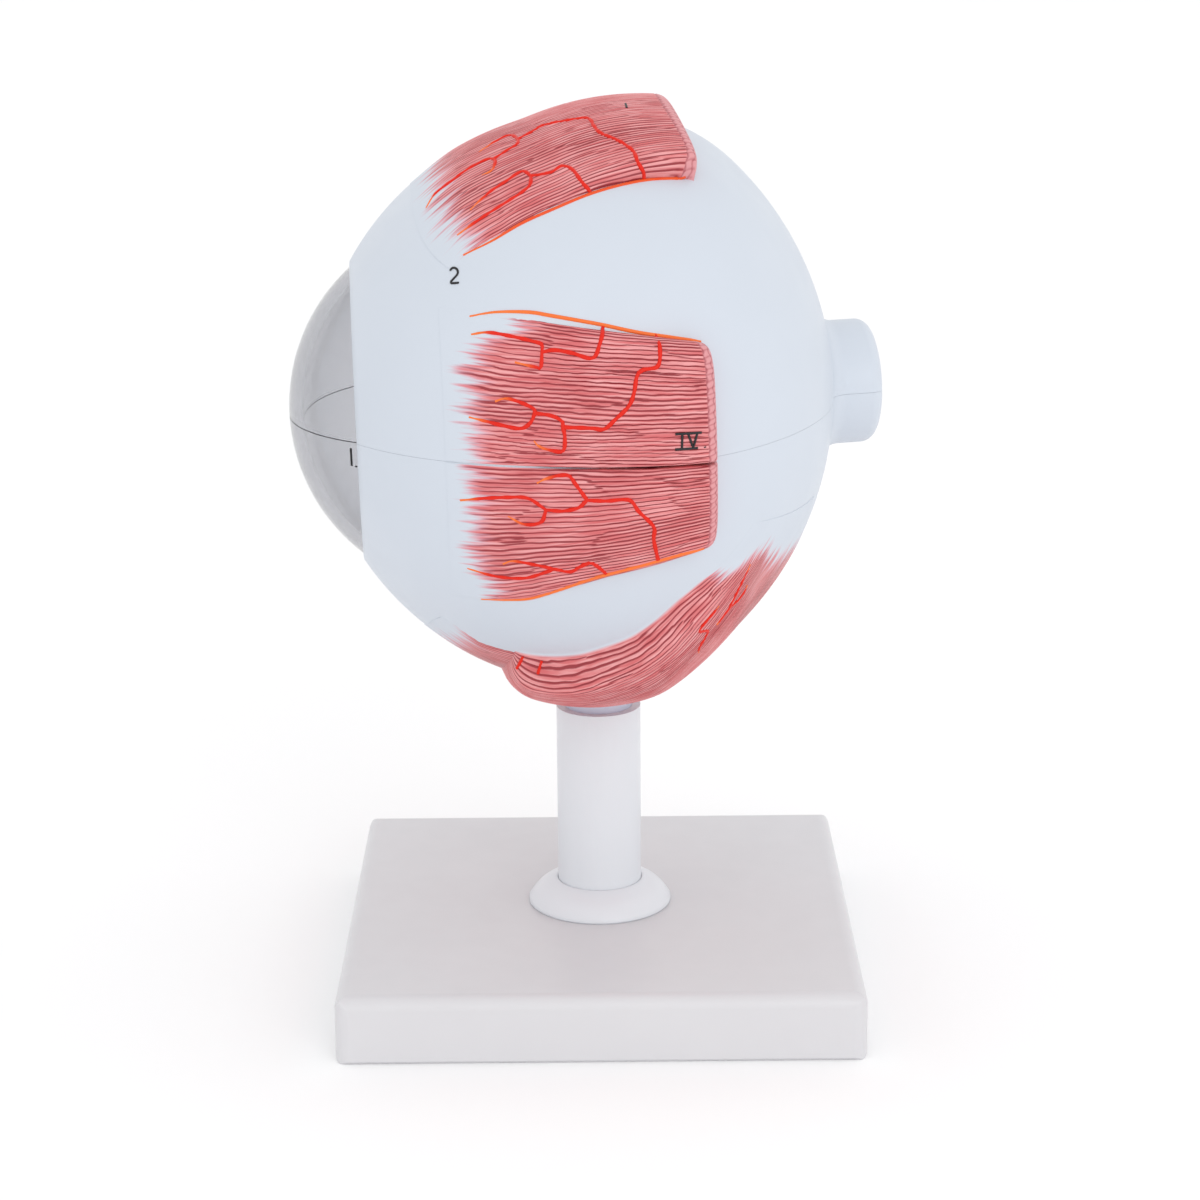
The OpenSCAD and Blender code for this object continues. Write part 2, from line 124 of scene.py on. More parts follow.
print("belt from", round(degrees(BELT_START), 1), "to", round(degrees(BELT_STOP), 1), "degrees")

# %% [markdown]
# Finishes come from what the real ones are. Colours are written as sRGB hex values, which one
# function turns to linear. One small function adds a node with its settings and links, and
# another gives a node or a shader its inputs.

# %% Colours and nodes
NOISE, MAP, MATH, MIX, BUMP, COMBINE, SPLIT, ATTRIBUTE, COORDINATES = (
    "ShaderNode" + kind for kind in ("TexNoise", "MapRange", "Math", "Mix", "Bump", "CombineXYZ",
                                     "SeparateXYZ", "Attribute", "TexCoord"))
COLOUR, SMOOTH = {"data_type": "RGBA"}, {"interpolation_type": "SMOOTHSTEP"}


def hex_colour(code):
    parts = [int(code[i:i + 2], 16) / 255 for i in (1, 3, 5)]
    return [c / 12.92 if c <= 0.04045 else ((c + 0.055) / 1.055) ** 2.4 for c in parts] + [1.0]


def connect(tree, node, **inputs):
    """Gives inputs, named with _ for a space or i0, i1 by place, a value, a socket or a node."""
    live = [s for s in node.inputs if s.enabled]
    for name, value in inputs.items():
        spot = live[int(name[1:])] if name[1:].isdigit() else next(
            s for s in live if s.name == name.replace("_", " "))
        if isinstance(value, bpy.types.Node):
            value = next(s for s in value.outputs if s.enabled)
        if isinstance(value, bpy.types.NodeSocket):
            tree.links.new(value, spot)
        else:
            spot.default_value = value


def add_node(tree, kind, settings=(), **inputs):
    node = tree.nodes.new(kind)
    for name, value in dict(settings).items():
        setattr(node, name, value)
    connect(tree, node, **inputs)
    return node


def new_finish(name):
    """A material with a Principled shader: returns it, its tree and the shader."""
    finish = bpy.data.materials.new(name)
    finish.use_nodes = True
    tree = finish.node_tree
    return finish, tree, next(n for n in tree.nodes if n.type == "BSDF_PRINCIPLED")


# %% [markdown]
# **Moulded ABS.** The stand is injection moulded in opaque white ABS. The mould leaves a
# fine satin grain and a slightly uneven gloss, and the white leans a little to lavender.
# Object coordinates are in metres, so a noise scale of 1000 / 22 makes clouds 22 mm across.

# %% Stand plastic
def moulded_abs(name, light, dark, roughness):
    finish, tree, shader = new_finish(name)
    place = add_node(tree, COORDINATES).outputs["Object"]
    cloud = add_node(tree, NOISE, Vector=place, Scale=1000 / 22, Detail=3.0)
    sheen = add_node(tree, NOISE, Vector=place, Scale=1000 / 6, Detail=3.0)
    grain = add_node(tree, NOISE, Vector=place, Scale=1000 / 0.5, Detail=2.0)
    colour = add_node(tree, MIX, COLOUR, Factor=cloud, A=hex_colour(dark), B=hex_colour(light))
    gloss = add_node(tree, MAP, SMOOTH, Value=sheen, From_Min=0.3, From_Max=0.7,
                     To_Min=roughness - 0.04, To_Max=roughness + 0.05)
    relief = add_node(tree, BUMP, Strength=0.5, Distance=0.02 * MM, Height=grain)
    connect(tree, shader, Base_Color=colour, Roughness=gloss, Normal=relief, IOR=1.52)
    return finish


STAND_PLASTIC = moulded_abs("moulded_white_abs", "#D5D4D7", "#D1D0D3", 0.36)
STEM_PLASTIC = moulded_abs("extruded_white_abs", "#E0E3E8", "#DCDFE4", 0.34)
PEG_PLASTIC = moulded_abs("moulded_bluish_abs", "#CDD3E4", "#C6CDE0", 0.3)

# %% [markdown]
# **Enamel on PVC.** The shell is blow-moulded PVC, sprayed with a pale blue-white enamel.
# Spraying leaves a faint orange peel, a few millimetres from crest to crest, and a tone that
# drifts a little. The muscles fade into the same enamel, so its colour is a shared function.

# %% Eye enamel
def enamel_colour(tree):
    place = add_node(tree, COORDINATES).outputs["Object"]
    drift = add_node(tree, NOISE, Vector=place, Scale=1000 / 30, Detail=3.0)
    return add_node(tree, MIX, COLOUR, Factor=drift, A=hex_colour("#C8CFD9"),
                    B=hex_colour("#CDD4DE"))


def eye_enamel():
    finish, tree, shader = new_finish("sprayed_enamel_on_pvc")
    place = add_node(tree, COORDINATES).outputs["Object"]
    sheen = add_node(tree, NOISE, Vector=place, Scale=1000 / 9, Detail=3.0)
    peel = add_node(tree, NOISE, Vector=place, Scale=1000 / 3.5, Detail=1.0)
    gloss = add_node(tree, MAP, SMOOTH, Value=sheen, From_Min=0.3, From_Max=0.7, To_Min=0.36,
                     To_Max=0.44)
    relief = add_node(tree, BUMP, Strength=0.5, Distance=0.03 * MM, Height=peel)
    connect(tree, shader, Base_Color=enamel_colour(tree), Roughness=gloss, Normal=relief)
    return finish


EYE_ENAMEL = eye_enamel()

# %% [markdown]
# **Painted muscle.** Each muscle is moulded with fibre grooves and painted pink, then a red
# wash is wiped over it, which stays in the grooves. In front the brush lifts off, so the
# strokes end at different lengths. The mesh carries the distance along and across the fibres
# in millimetres, and how deep in a groove each point lies. The strokes are noise stretched
# twenty times along the fibres, and the wash follows the grooves. The cut end is lighter.

# %% Muscle paint
def muscle_paint():
    finish, tree, shader = new_finish("wiped_wash_on_muscle_relief")
    fibre = add_node(tree, ATTRIBUTE, {"attribute_name": "fibre"}).outputs["Vector"]
    groove = add_node(tree, ATTRIBUTE, {"attribute_name": "groove"}).outputs["Fac"]
    bare = add_node(tree, ATTRIBUTE, {"attribute_name": "bare"}).outputs["Fac"]
    along, across, cut = add_node(tree, SPLIT, Vector=fibre).outputs
    slow = add_node(tree, MATH, {"operation": "MULTIPLY"}, i0=along, i1=0.05)
    drawn = add_node(tree, COMBINE, X=slow, Y=across)
    hair = add_node(tree, NOISE, Vector=drawn, Scale=1.5, Detail=4.0)
    tuft = add_node(tree, NOISE, Vector=drawn, Scale=0.4, Detail=1.0)
    patch = add_node(tree, NOISE, Vector=fibre, Scale=0.08, Detail=2.0)
    strand = add_node(tree, MAP, SMOOTH, Value=hair, From_Min=0.35, From_Max=0.65)
    pink = add_node(tree, MIX, COLOUR, Factor=strand, A=hex_colour("#D2686B"),
                    B=hex_colour("#E8A0A1"))
    worn = add_node(tree, MAP, SMOOTH, Value=patch, From_Min=0.4, From_Max=0.75, To_Max=0.45)
    pink = add_node(tree, MIX, COLOUR, Factor=worn, A=pink, B=hex_colour("#C65658"))
    wiped = add_node(tree, MAP, SMOOTH, Value=hair, From_Min=0.3, From_Max=0.7, To_Min=0.75,
                     To_Max=1.0)
    pool = add_node(tree, MATH, {"operation": "MULTIPLY"}, i0=wiped, i1=groove)
    wash = add_node(tree, MAP, SMOOTH, Value=pool, From_Min=0.08, From_Max=0.5, To_Max=0.96)
    fleshy = add_node(tree, MIX, COLOUR, Factor=wash, A=pink, B=hex_colour("#8F1F29"))
    knots = add_node(tree, MATH, {"operation": "MULTIPLY"}, i0=groove, i1=0.8)
    braid = add_node(tree, MIX, COLOUR, Factor=knots, A=hex_colour("#D99296"),
                     B=hex_colour("#9F3843"))
    painted = add_node(tree, MIX, COLOUR, Factor=cut, A=fleshy, B=braid)
    first = add_node(tree, MAP, SMOOTH, Value=tuft, From_Min=0.3, From_Max=0.7, To_Min=0.6,
                     To_Max=4.4)
    later = add_node(tree, MAP, SMOOTH, Value=hair, From_Min=0.28, From_Max=0.72, To_Max=4.6)
    start = add_node(tree, MATH, {"operation": "ADD"}, i0=first, i1=later)
    lead = add_node(tree, MATH, {"operation": "SUBTRACT"}, i0=along, i1=start)
    cover = add_node(tree, MAP, SMOOTH, Value=lead, From_Min=-1.8, From_Max=2.4)
    painting = add_node(tree, MATH, {"operation": "SUBTRACT"}, i0=1.0, i1=bare)
    cover = add_node(tree, MATH, {"operation": "MULTIPLY"}, i0=cover, i1=painting)
    thick = add_node(tree, MAP, SMOOTH, Value=lead, From_Min=-0.5, From_Max=5.0, To_Min=0.25)
    painted = add_node(tree, MIX, COLOUR, Factor=thick, A=hex_colour("#DCA5B4"), B=painted)
    colour = add_node(tree, MIX, COLOUR, Factor=cover, A=enamel_colour(tree), B=painted)
    gloss = add_node(tree, MAP, SMOOTH, Value=patch, From_Min=0.3, From_Max=0.7, To_Min=0.4,
                     To_Max=0.52)
    bristle = add_node(tree, MATH, {"operation": "MULTIPLY"}, i0=hair, i1=cover)
    relief = add_node(tree, BUMP, Strength=0.5, Distance=0.06 * MM, Height=bristle)
    connect(tree, shader, Base_Color=colour, Roughness=gloss, Normal=relief)
    return finish


MUSCLE_PAINT = muscle_paint()

# %% [markdown]
# **Vessels and ink.** The vessels are thick enamel laid with a brush: orange at the thin
# tips and signal red where they run thick. The part numbers are inked by hand.

# %% Vessel enamel and ink
def vessel_enamel():
    finish, tree, shader = new_finish("brushed_vessel_enamel")
    warmth = add_node(tree, ATTRIBUTE, {"attribute_name": "warmth"}).outputs["Fac"]
    place = add_node(tree, COORDINATES).outputs["Object"]
    brush = add_node(tree, NOISE, Vector=place, Scale=1000 / 2.0, Detail=3.0)
    uneven = add_node(tree, MATH, {"operation": "MULTIPLY_ADD"}, i0=brush, i1=0.3, i2=warmth)
    share = add_node(tree, MAP, SMOOTH, Value=uneven, From_Min=0.2, From_Max=1.1)
    colour = add_node(tree, MIX, COLOUR, Factor=share, A=hex_colour("#DD2210"),
                      B=hex_colour("#F07838"))
    streak = add_node(tree, NOISE, Vector=place, Scale=1000 / 0.8, Detail=2.0)
    relief = add_node(tree, BUMP, Strength=0.4, Distance=0.03 * MM, Height=streak)
    connect(tree, shader, Base_Color=colour, Normal=relief, Roughness=0.4,
            Specular_IOR_Level=0.25)
    return finish


def pen_ink():
    finish, tree, shader = new_finish("waterproof_pen_ink")
    place = add_node(tree, COORDINATES).outputs["Object"]
    soak = add_node(tree, NOISE, Vector=place, Scale=1000 / 0.7, Detail=3.0)
    colour = add_node(tree, MIX, COLOUR, Factor=soak, A=hex_colour("#0B090D"),
                      B=hex_colour("#17151B"))
    connect(tree, shader, Base_Color=colour, Roughness=0.5)
    return finish


VESSEL_ENAMEL, PEN_INK = vessel_enamel(), pen_ink()

# %% [markdown]
# **Clear plastic.** The cornea is a smoky clear polystyrene, and the lens and the vitreous
# body are a clearer one. Both are real walls of real thickness, so light is tinted by the
# length of its way through the plastic: the surface is almost white, and an absorption volume
# takes a share of the light for each millimetre. That's why the dome is darker at its rim.

# %% Clear plastics
def clear_plastic(name, density, absorbed):
    finish, tree, shader = new_finish(name)
    place = add_node(tree, COORDINATES).outputs["Object"]
    haze = add_node(tree, NOISE, Vector=place, Scale=1000 / 35, Detail=2.0)
    sheen = add_node(tree, NOISE, Vector=place, Scale=1000 / 12, Detail=2.0)
    colour = add_node(tree, MIX, COLOUR, Factor=haze, A=hex_colour("#FBFBFC"),
                      B=hex_colour("#FEFEFE"))
    gloss = add_node(tree, MAP, SMOOTH, Value=sheen, From_Min=0.3, From_Max=0.7, To_Min=0.01,
                     To_Max=0.03)
    connect(tree, shader, Base_Color=colour, Roughness=gloss, IOR=1.36, Transmission_Weight=1.0)
    volume = add_node(tree, "ShaderNodeVolumeAbsorption", Color=absorbed, Density=density)
    result = next(n for n in tree.nodes if n.type == "OUTPUT_MATERIAL")
    connect(tree, result, Volume=volume)
    return finish


SMOKY_CLEAR = clear_plastic("smoky_clear_polystyrene", 172.0, (0.494, 0.502, 0.545, 1.0))
WATER_CLEAR = clear_plastic("water_clear_polystyrene", 12.0, (0.4, 0.7, 0.75, 1.0))

# %% [markdown]
# **Inner paints.** The coats inside are sprayed in the colours that teaching models use:
# dark brown outside, orange red within, with a brown pleated ring round the lens and a blue
# iris. The nerve's cut end shows its bundles. The pins that locate the halves are steel.

# %% Inner paints and steel
def sprayed_coat(name, light, dark, blob_mm, roughness=0.5):
    finish, tree, shader = new_finish(name)
    place = add_node(tree, COORDINATES).outputs["Object"]
    blobs = add_node(tree, NOISE, Vector=place, Scale=1000 / blob_mm, Detail=6.0, Roughness=0.6)
    mottle = add_node(tree, MAP, SMOOTH, Value=blobs, From_Min=0.36, From_Max=0.64)
    colour = add_node(tree, MIX, COLOUR, Factor=mottle, A=hex_colour(dark), B=hex_colour(light))
    spray = add_node(tree, NOISE, Vector=place, Scale=1000 / 0.6, Detail=2.0)
    relief = add_node(tree, BUMP, Strength=0.6, Distance=0.03 * MM, Height=spray)
    connect(tree, shader, Base_Color=colour, Normal=relief, Roughness=roughness)
    return finish


def nerve_bundles():
    finish, tree, shader = new_finish("painted_nerve_bundles")
    place = add_node(tree, COORDINATES).outputs["Object"]
    cells = add_node(tree, "ShaderNodeTexVoronoi", {"feature": "DISTANCE_TO_EDGE"}, Vector=place,
                     Scale=1000 / 2.2)
    bundle = add_node(tree, MAP, SMOOTH, Value=cells, From_Min=0.02, From_Max=0.16)
    colour = add_node(tree, MIX, COLOUR, Factor=bundle, A=hex_colour("#B9854E"),
                      B=hex_colour("#EBCF93"))
    relief = add_node(tree, BUMP, Strength=0.8, Distance=0.12 * MM, Height=bundle)
    connect(tree, shader, Base_Color=colour, Normal=relief, Roughness=0.5)
    return finish


def turned_steel():
    finish, tree, shader = new_finish("turned_steel_pin")
    place = add_node(tree, COORDINATES).outputs["Object"]
    marks = add_node(tree, NOISE, Vector=place, Scale=1000 / 0.4, Detail=3.0)
    colour = add_node(tree, MIX, COLOUR, Factor=marks, A=hex_colour("#B9BBBE"),
                      B=hex_colour("#D2D4D6"))
    gloss = add_node(tree, MAP, SMOOTH, Value=marks, From_Min=0.3, From_Max=0.7, To_Min=0.22,
                     To_Max=0.34)
    connect(tree, shader, Base_Color=colour, Roughness=gloss, Metallic=1.0)
    return finish


def iris_paint():
    finish, tree, shader = new_finish("airbrushed_iris")
    rays = add_node(tree, ATTRIBUTE, {"attribute_name": "rays"}).outputs["Vector"]
    turn, out, _ = add_node(tree, SPLIT, Vector=rays).outputs
    drawn = add_node(tree, COMBINE, X=turn, Y=out)
    streak = add_node(tree, NOISE, Vector=drawn, Scale=1.2, Detail=4.0)
    share = add_node(tree, MAP, SMOOTH, Value=streak, From_Min=0.35, From_Max=0.65)
    blue = add_node(tree, MIX, COLOUR, Factor=share, A=hex_colour("#3E76A6"),
                    B=hex_colour("#9CC3DE"))
    outer = add_node(tree, MAP, SMOOTH, Value=out, From_Min=0.75, From_Max=1.0, To_Max=0.85)
    blue = add_node(tree, MIX, COLOUR, Factor=outer, A=blue, B=hex_colour("#1F3F66"))
    inner = add_node(tree, MAP, SMOOTH, Value=out, From_Min=0.12, From_Max=0.0, To_Max=0.9)
    colour = add_node(tree, MIX, COLOUR, Factor=inner, A=blue, B=hex_colour("#2A2622"))
    relief = add_node(tree, BUMP, Strength=0.6, Distance=0.2 * MM, Height=streak)
    connect(tree, shader, Base_Color=colour, Normal=relief, Roughness=0.42)
    return finish


CHOROID_PAINT = sprayed_coat("sprayed_brown_coat", "#5B3327", "#43231B", 7)
RETINA_PAINT = sprayed_coat("sprayed_orange_coat", "#E07F4E", "#D26A40", 14, 0.42)
CILIARY_PAINT = sprayed_coat("sprayed_ciliary_brown", "#6E4234", "#4A2A22", 2.5)
NERVE_PAINT, PIN_STEEL, IRIS_PAINT = nerve_bundles(), turned_steel(), iris_paint()
MADE = (STAND_PLASTIC, STEM_PLASTIC, PEG_PLASTIC, EYE_ENAMEL, MUSCLE_PAINT, VESSEL_ENAMEL, PEN_INK,
        SMOKY_CLEAR, WATER_CLEAR, CHOROID_PAINT, RETINA_PAINT, CILIARY_PAINT, NERVE_PAINT,
        PIN_STEEL, IRIS_PAINT)
print("finishes:", {finish.name: len(finish.node_tree.nodes) for finish in MADE})

# %% [markdown]
# ## Mesh helpers
# Most pieces here are a closed outline carried round the eye. For each angle the outline has
# an outer path and an inner path with the same number of points, so that the two cut faces
# of a half shell can be filled with a ladder of quads. Normals are recalculated on the
# closed mesh, and edges sharper than about 35 degrees stay crisp.

# %% Build a piece from points and faces
CRISP = radians(35)


def new_object(name, data):
    item = bpy.data.objects.new(name, data)
    bpy.context.scene.collection.objects.link(item)
    return item


def adopt(mesh, name, body, replaces=()):
    """Makes a mesh a piece of a body, in place of the CAD nodes named."""
    piece = new_object(name, mesh)
    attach(piece, body)
    if replaces:
        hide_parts(*replaces)
    print(f"{name}: {len(mesh.polygons)} faces")
    return piece


def finish_piece(name, points, faces, finish, body, slot, replaces=(), attributes=(),
                 crisp=CRISP, place=on_stand):
    mesh = bpy.data.meshes.new(name)
    mesh.from_pydata(place(points).tolist(), [], faces)
    for key, values in dict(attributes).items():
        values = np.asarray(values, np.float32)
        kind, slot_name = ("FLOAT", "value") if values.ndim == 1 else ("FLOAT_VECTOR", "vector")
        layer = mesh.attributes.new(key, kind, "POINT")
        layer.data.foreach_set(slot_name, values.ravel())
    shell = bmesh.new()
    shell.from_mesh(mesh)
    bmesh.ops.remove_doubles(shell, verts=shell.verts, dist=1e-6)
    bmesh.ops.recalc_face_normals(shell, faces=shell.faces)
    if shell.calc_volume(signed=True) < 0:
        bmesh.ops.reverse_faces(shell, faces=shell.faces)
    if not all(edge.is_manifold for edge in shell.edges):
        print(name, "is open")
    shell.to_mesh(mesh)
    shell.free()
    mesh.shade_smooth()
    mesh.set_sharp_from_angle(angle=crisp)
    mesh.materials.append(finish)
    return adopt(mesh, name, body, replaces)


def swept(outer, inner, closed=False):
    """Faces of a closed shell: outer and inner are (angles, points, 3) arrays."""
    outer, inner = np.asarray(outer), np.asarray(inner)
    turns, count = outer.shape[:2]
    points = np.concatenate([outer, inner[:, ::-1]], axis=1).reshape(-1, 3)
    ring = 2 * count
    faces = []
    for i in range(turns if closed else turns - 1):
        a, b = i * ring, (i + 1) % turns * ring
        faces += [(a + k, a + (k + 1) % ring, b + (k + 1) % ring, b + k) for k in range(ring)]
    if not closed:
        for a in (0, (turns - 1) * ring):
            faces += [(a + k, a + k + 1, a + ring - 2 - k, a + ring - 1 - k)
                      for k in range(count - 1)]
    return points, faces


def tidy_faces(points, faces):
    """Merges points that fall together, and drops what is left of faces without area."""
    points = np.asarray(points, float).reshape(-1, 3)
    _, first, which = np.unique(np.round(points, 5), axis=0, return_index=True,
                                return_inverse=True)
    which = which.ravel()
    kept = []
    for face in faces:
        ids = [int(which[v]) for v in face]
        ids = [v for k, v in enumerate(ids) if v != ids[k - 1]]
        if len(set(ids)) >= 3 and len(set(ids)) == len(ids):
            kept.append(ids)
    return points[first], kept


def hold_seam(points, side, gap):
    """Moves the first and the last row of a half onto its seam face."""
    points = np.array(points)
    points[..., 2] = np.where(side * points[..., 2] < gap / 2, side * gap / 2, points[..., 2])
    return points


def half_piece(name, node, rows, side, gap, finish, bodies, slot, merge=True, **more):
    """One half of the eye from its outer and inner rows, cut a gap apart at the seam."""
    points, faces = swept(*(hold_seam(skin, side, gap) for skin in rows))
    if merge:
        points, faces = tidy_faces(points, faces)
    half = NAME_OF[side]
    return finish_piece(f"{name}_{half}", points, faces, finish, bodies[side], slot,
                        [f"{node}_{half}"], **more)


def ring_points(x, r, angles, side):
    """Points of circles about X: x and r are paths, angles go round."""
    x, r = np.asarray(x, float), np.asarray(r, float)
    c, s = np.cos(angles)[:, None], side * np.sin(angles)[:, None]
    return np.stack([np.broadcast_to(x, (len(angles), len(x))), r * c, r * s], axis=-1)


def arc_path(radius, centre_x, start, stop, count):
    """Path (x, r) of an arc about a point of the axis; 0 degrees is -X, 90 is outwards."""
    a = np.radians(np.linspace(start, stop, count))
    return centre_x - radius * np.cos(a), radius * np.sin(a)


def slerp(a, b, t):
    """Directions from a to b on the great circle: (n, 3) and (m,) give (n, m, 3)."""
    angle = np.arccos(np.clip(np.sum(a * b, axis=-1), -1, 1))[:, None, None]
    t = np.asarray(t)[None, :, None]
    return (a[:, None] * np.sin((1 - t) * angle) + b[:, None] * np.sin(t * angle)) / np.sin(angle)


# %% [markdown]
# ## The white shell
# Each half is one moulding: the globe, the flat rim of the opening, and the nerve's sheath
# with a soft fillet at its foot. Rows of directions run from the rim to the nerve on great
# circles, then a quadratic Bezier rounds the fillet and straight rows make the sheath. The
# wall is 4 mm, so the lifted half shows a real edge.

# %% Shell halves
SEAM = 0.05
WALL = 4.0
LIMBUS_R, RIM_WIDTH = 33.5, 0.8
RIM_X = CENTRE[0] - sqrt(FRONT_R**2 - (LIMBUS_R + RIM_WIDTH) ** 2)
NERVE_TURN = radians(6.3)
NERVE_AXIS = np.array([cos(NERVE_TURN), sin(NERVE_TURN), 0.0])
NERVE_SIDE = np.array([-sin(NERVE_TURN), cos(NERVE_TURN), 0.0])
NERVE_FOOT = CENTRE - [CENTRE_GAP * cos(AXIS_FALL), 0, 0]
NERVE_R, NERVE_END, NERVE_EDGE, CORE_BORE = 14.5, 85.1, 3.0, 9.1
# The fillet: its radius on the globe, where it meets the sheath, and how far its knee reaches
FILLET_R, FILLET_END, FILLET_KNEE = 18.6, 76.2, 3.9


def nerve_ring(s, r, angles, side):
    """Circles about the nerve's axis, at distance s from its foot."""
    s, r = np.broadcast_arrays(np.asarray(s, float), np.asarray(r, float))
    c, k = np.cos(angles)[:, None, None], side * np.sin(angles)[:, None, None]
    out = c * NERVE_SIDE + k * np.array([0, 0, 1.0])
    return NERVE_FOOT + s[None, :, None] * NERVE_AXIS + r[None, :, None] * out


def shell_half(side):
    angles = np.linspace(0, pi, 109)
    rows = np.linspace(0, 1, 72)
    lip = ring_points([RIM_X, RIM_X], [LIMBUS_R, LIMBUS_R + RIM_WIDTH - 0.15], angles, side)
    front = toward(ring_points([RIM_X], [LIMBUS_R + RIM_WIDTH], angles, side)[:, 0])
    foot = nerve_ring([sqrt(REAR_R**2 - FILLET_R**2)], [FILLET_R], angles, side)
    back = toward(foot[:, 0])
    skin = globe_point(slerp(front, back, rows))
    start, before = skin[:, -1:], skin[:, -2:-1]
    stop = nerve_ring([FILLET_END], [NERVE_R], angles, side)
    slope = unit(start - before)
    knee = start + slope * FILLET_KNEE
    t = np.linspace(0, 1, 9)[1:, None]
    fillet = (1 - t) ** 2 * start + 2 * t * (1 - t) * knee + t**2 * stop
    a = np.radians(np.linspace(0, 90, 8))
    tip = nerve_ring(NERVE_END - NERVE_EDGE + NERVE_EDGE * np.sin(a),
                     NERVE_R - NERVE_EDGE + NERVE_EDGE * np.cos(a), angles, side)
    mouth = nerve_ring([NERVE_END], [CORE_BORE + 0.3], angles, side)
    outer = np.concatenate([lip, skin, fillet, tip, mouth], axis=1)
    inner_x = CENTRE[0] - sqrt((FRONT_R - WALL) ** 2 - LIMBUS_R**2)
    step = ring_points([RIM_X + 0.3, RIM_X + 2], [LIMBUS_R, LIMBUS_R], angles, side)
    front_in = toward(ring_points([inner_x], [LIMBUS_R], angles, side)[:, 0])
    back_in = toward(nerve_ring([REAR_R - WALL - 0.6], [CORE_BORE], angles, side)[:, 0])
    lining = globe_point(slerp(front_in, back_in, rows), WALL)
    bore_count = outer.shape[1] - 2 - len(rows)
    bore = nerve_ring(np.linspace(REAR_R - WALL, NERVE_END - 0.3, bore_count + 1)[1:],
                      [CORE_BORE] * bore_count, angles, side)
    inner = np.concatenate([step, lining, bore], axis=1)
    half_piece("shell", "sclera", (outer, inner), side, SEAM, EYE_ENAMEL, BODY_OF, "sclera_paint")


for side in (UPPER, LOWER):
    shell_half(side)

# %% [markdown]
# ## The clear dome
# The cornea is a dome of 42.8 mm radius with a 3 mm wall and a short skirt, glued into the
# opening. It is cut at the seam like the shell, and the cut shows as a fine dark line
# through the plastic on both sides.

# %% Cornea halves
CORNEA_R, CORNEA_WALL, CORNEA_SET, SKIRT = 42.8, 3.0, 0.5, 4.6
DOME_EDGE = LIMBUS_R - 0.1
DOME_X = RIM_X + CORNEA_SET + sqrt(CORNEA_R**2 - DOME_EDGE**2)
CORNEA_SEAM = 0.2


def cornea_half(side):
    angles = np.linspace(0, pi, 91)
    inner_r = CORNEA_R - CORNEA_WALL
    skirt_r, skirt_x = DOME_EDGE - CORNEA_WALL, RIM_X + CORNEA_SET + SKIRT
    ox, orr = arc_path(CORNEA_R, DOME_X, 0.15, degrees(asin(DOME_EDGE / CORNEA_R)), 44)
    ix, ir = arc_path(inner_r, DOME_X, 0.15, degrees(asin(skirt_r / inner_r)), 44)
    outer = ring_points(np.append(ox, [skirt_x - 0.3, skirt_x]),
                        np.append(orr, [DOME_EDGE, DOME_EDGE - 0.3]), angles, side)
    inner = ring_points(np.append(ix, [skirt_x - 0.3, skirt_x]),
                        np.append(ir, [skirt_r, skirt_r + 0.3]), angles, side)
    outer[:, 0, 1:] = 0
    inner[:, 0, 1:] = 0
    half_piece("clear_dome", "cornea", (outer, inner), side, CORNEA_SEAM, SMOKY_CLEAR, BODY_OF,
               "clear_cornea")


for side in (UPPER, LOWER):
    cornea_half(side)

# %% [markdown]
# ## The eye muscles
# Seen close, a muscle is a low cushion with fibre grooves about 1.3 mm apart that wander,
# merge and fade. It could be a noise bump on the plain solid, but then its outline would stay
# smooth and its fibres wouldn't follow its shape. So each one is a fine grid that runs along
# and across its fibres, lifted off the globe by the same shifted ball as in the CAD model,
# rolled down at its edges, cut steeply behind and faded out in front. The grooves are real.

# %% How far a shifted ball stands out of the globe
SIDE_CROWN = (np.array([7.75, -3.2, 0]), FRONT_R)
UPPER_CROWN = (np.array([9.2, 0, 3.7]), FRONT_R)
UNDER_CROWN = (np.array([3.0, 0, -1.0]), FRONT_R)
SLANT_CROWN = (26.6 * np.array([-0.16, -0.6, -0.785]), 46.3)
SLANT_TAPER = (np.array([-31.0, -3.0, 0]), 79.6)
FILM, SOFT_START, SOFT_MEET = 0.1, 0.3, 0.36


def crown_rise(directions, crown, film=FILM):
    shift, radius = crown
    lean = directions @ shift
    reach = lean + np.sqrt(np.clip(radius**2 - shift @ shift + lean**2, 0, None))
    rise = np.where(radius**2 - shift @ shift + lean**2 > 0, reach, 0) - globe_reach(directions)
    over = rise - film - 0.03
    return film + 0.5 * (over + np.sqrt(over**2 + SOFT_START**2))


def tapered_rise(directions, crown, film=FILM):
    """The lower one of a crown and the taper that both lower muscles share behind."""
    first, taper = (crown_rise(directions, ball, film) for ball in (crown, SLANT_TAPER))
    return np.maximum(film, (first + taper - np.sqrt((first - taper) ** 2 + SOFT_MEET)) / 2)


# %% Fibre grooves
GROOVE_STEP, GROOVE_WIDTH, GROOVE_DEPTH = 0.88, 0.16, 0.26


def waves(rng, x, y, count, length_x, length_y):
    """A smooth wandering value of about -1 to 1, from a few sine waves."""
    total = np.zeros(np.broadcast(x, y).shape)
    for _ in range(count):
        kx, ky = rng.normal(0, 2 * pi / length_x), rng.normal(0, 2 * pi / length_y)
        total = total + np.sin(kx * x + ky * y + rng.uniform(0, 2 * pi))
    return total / sqrt(count)


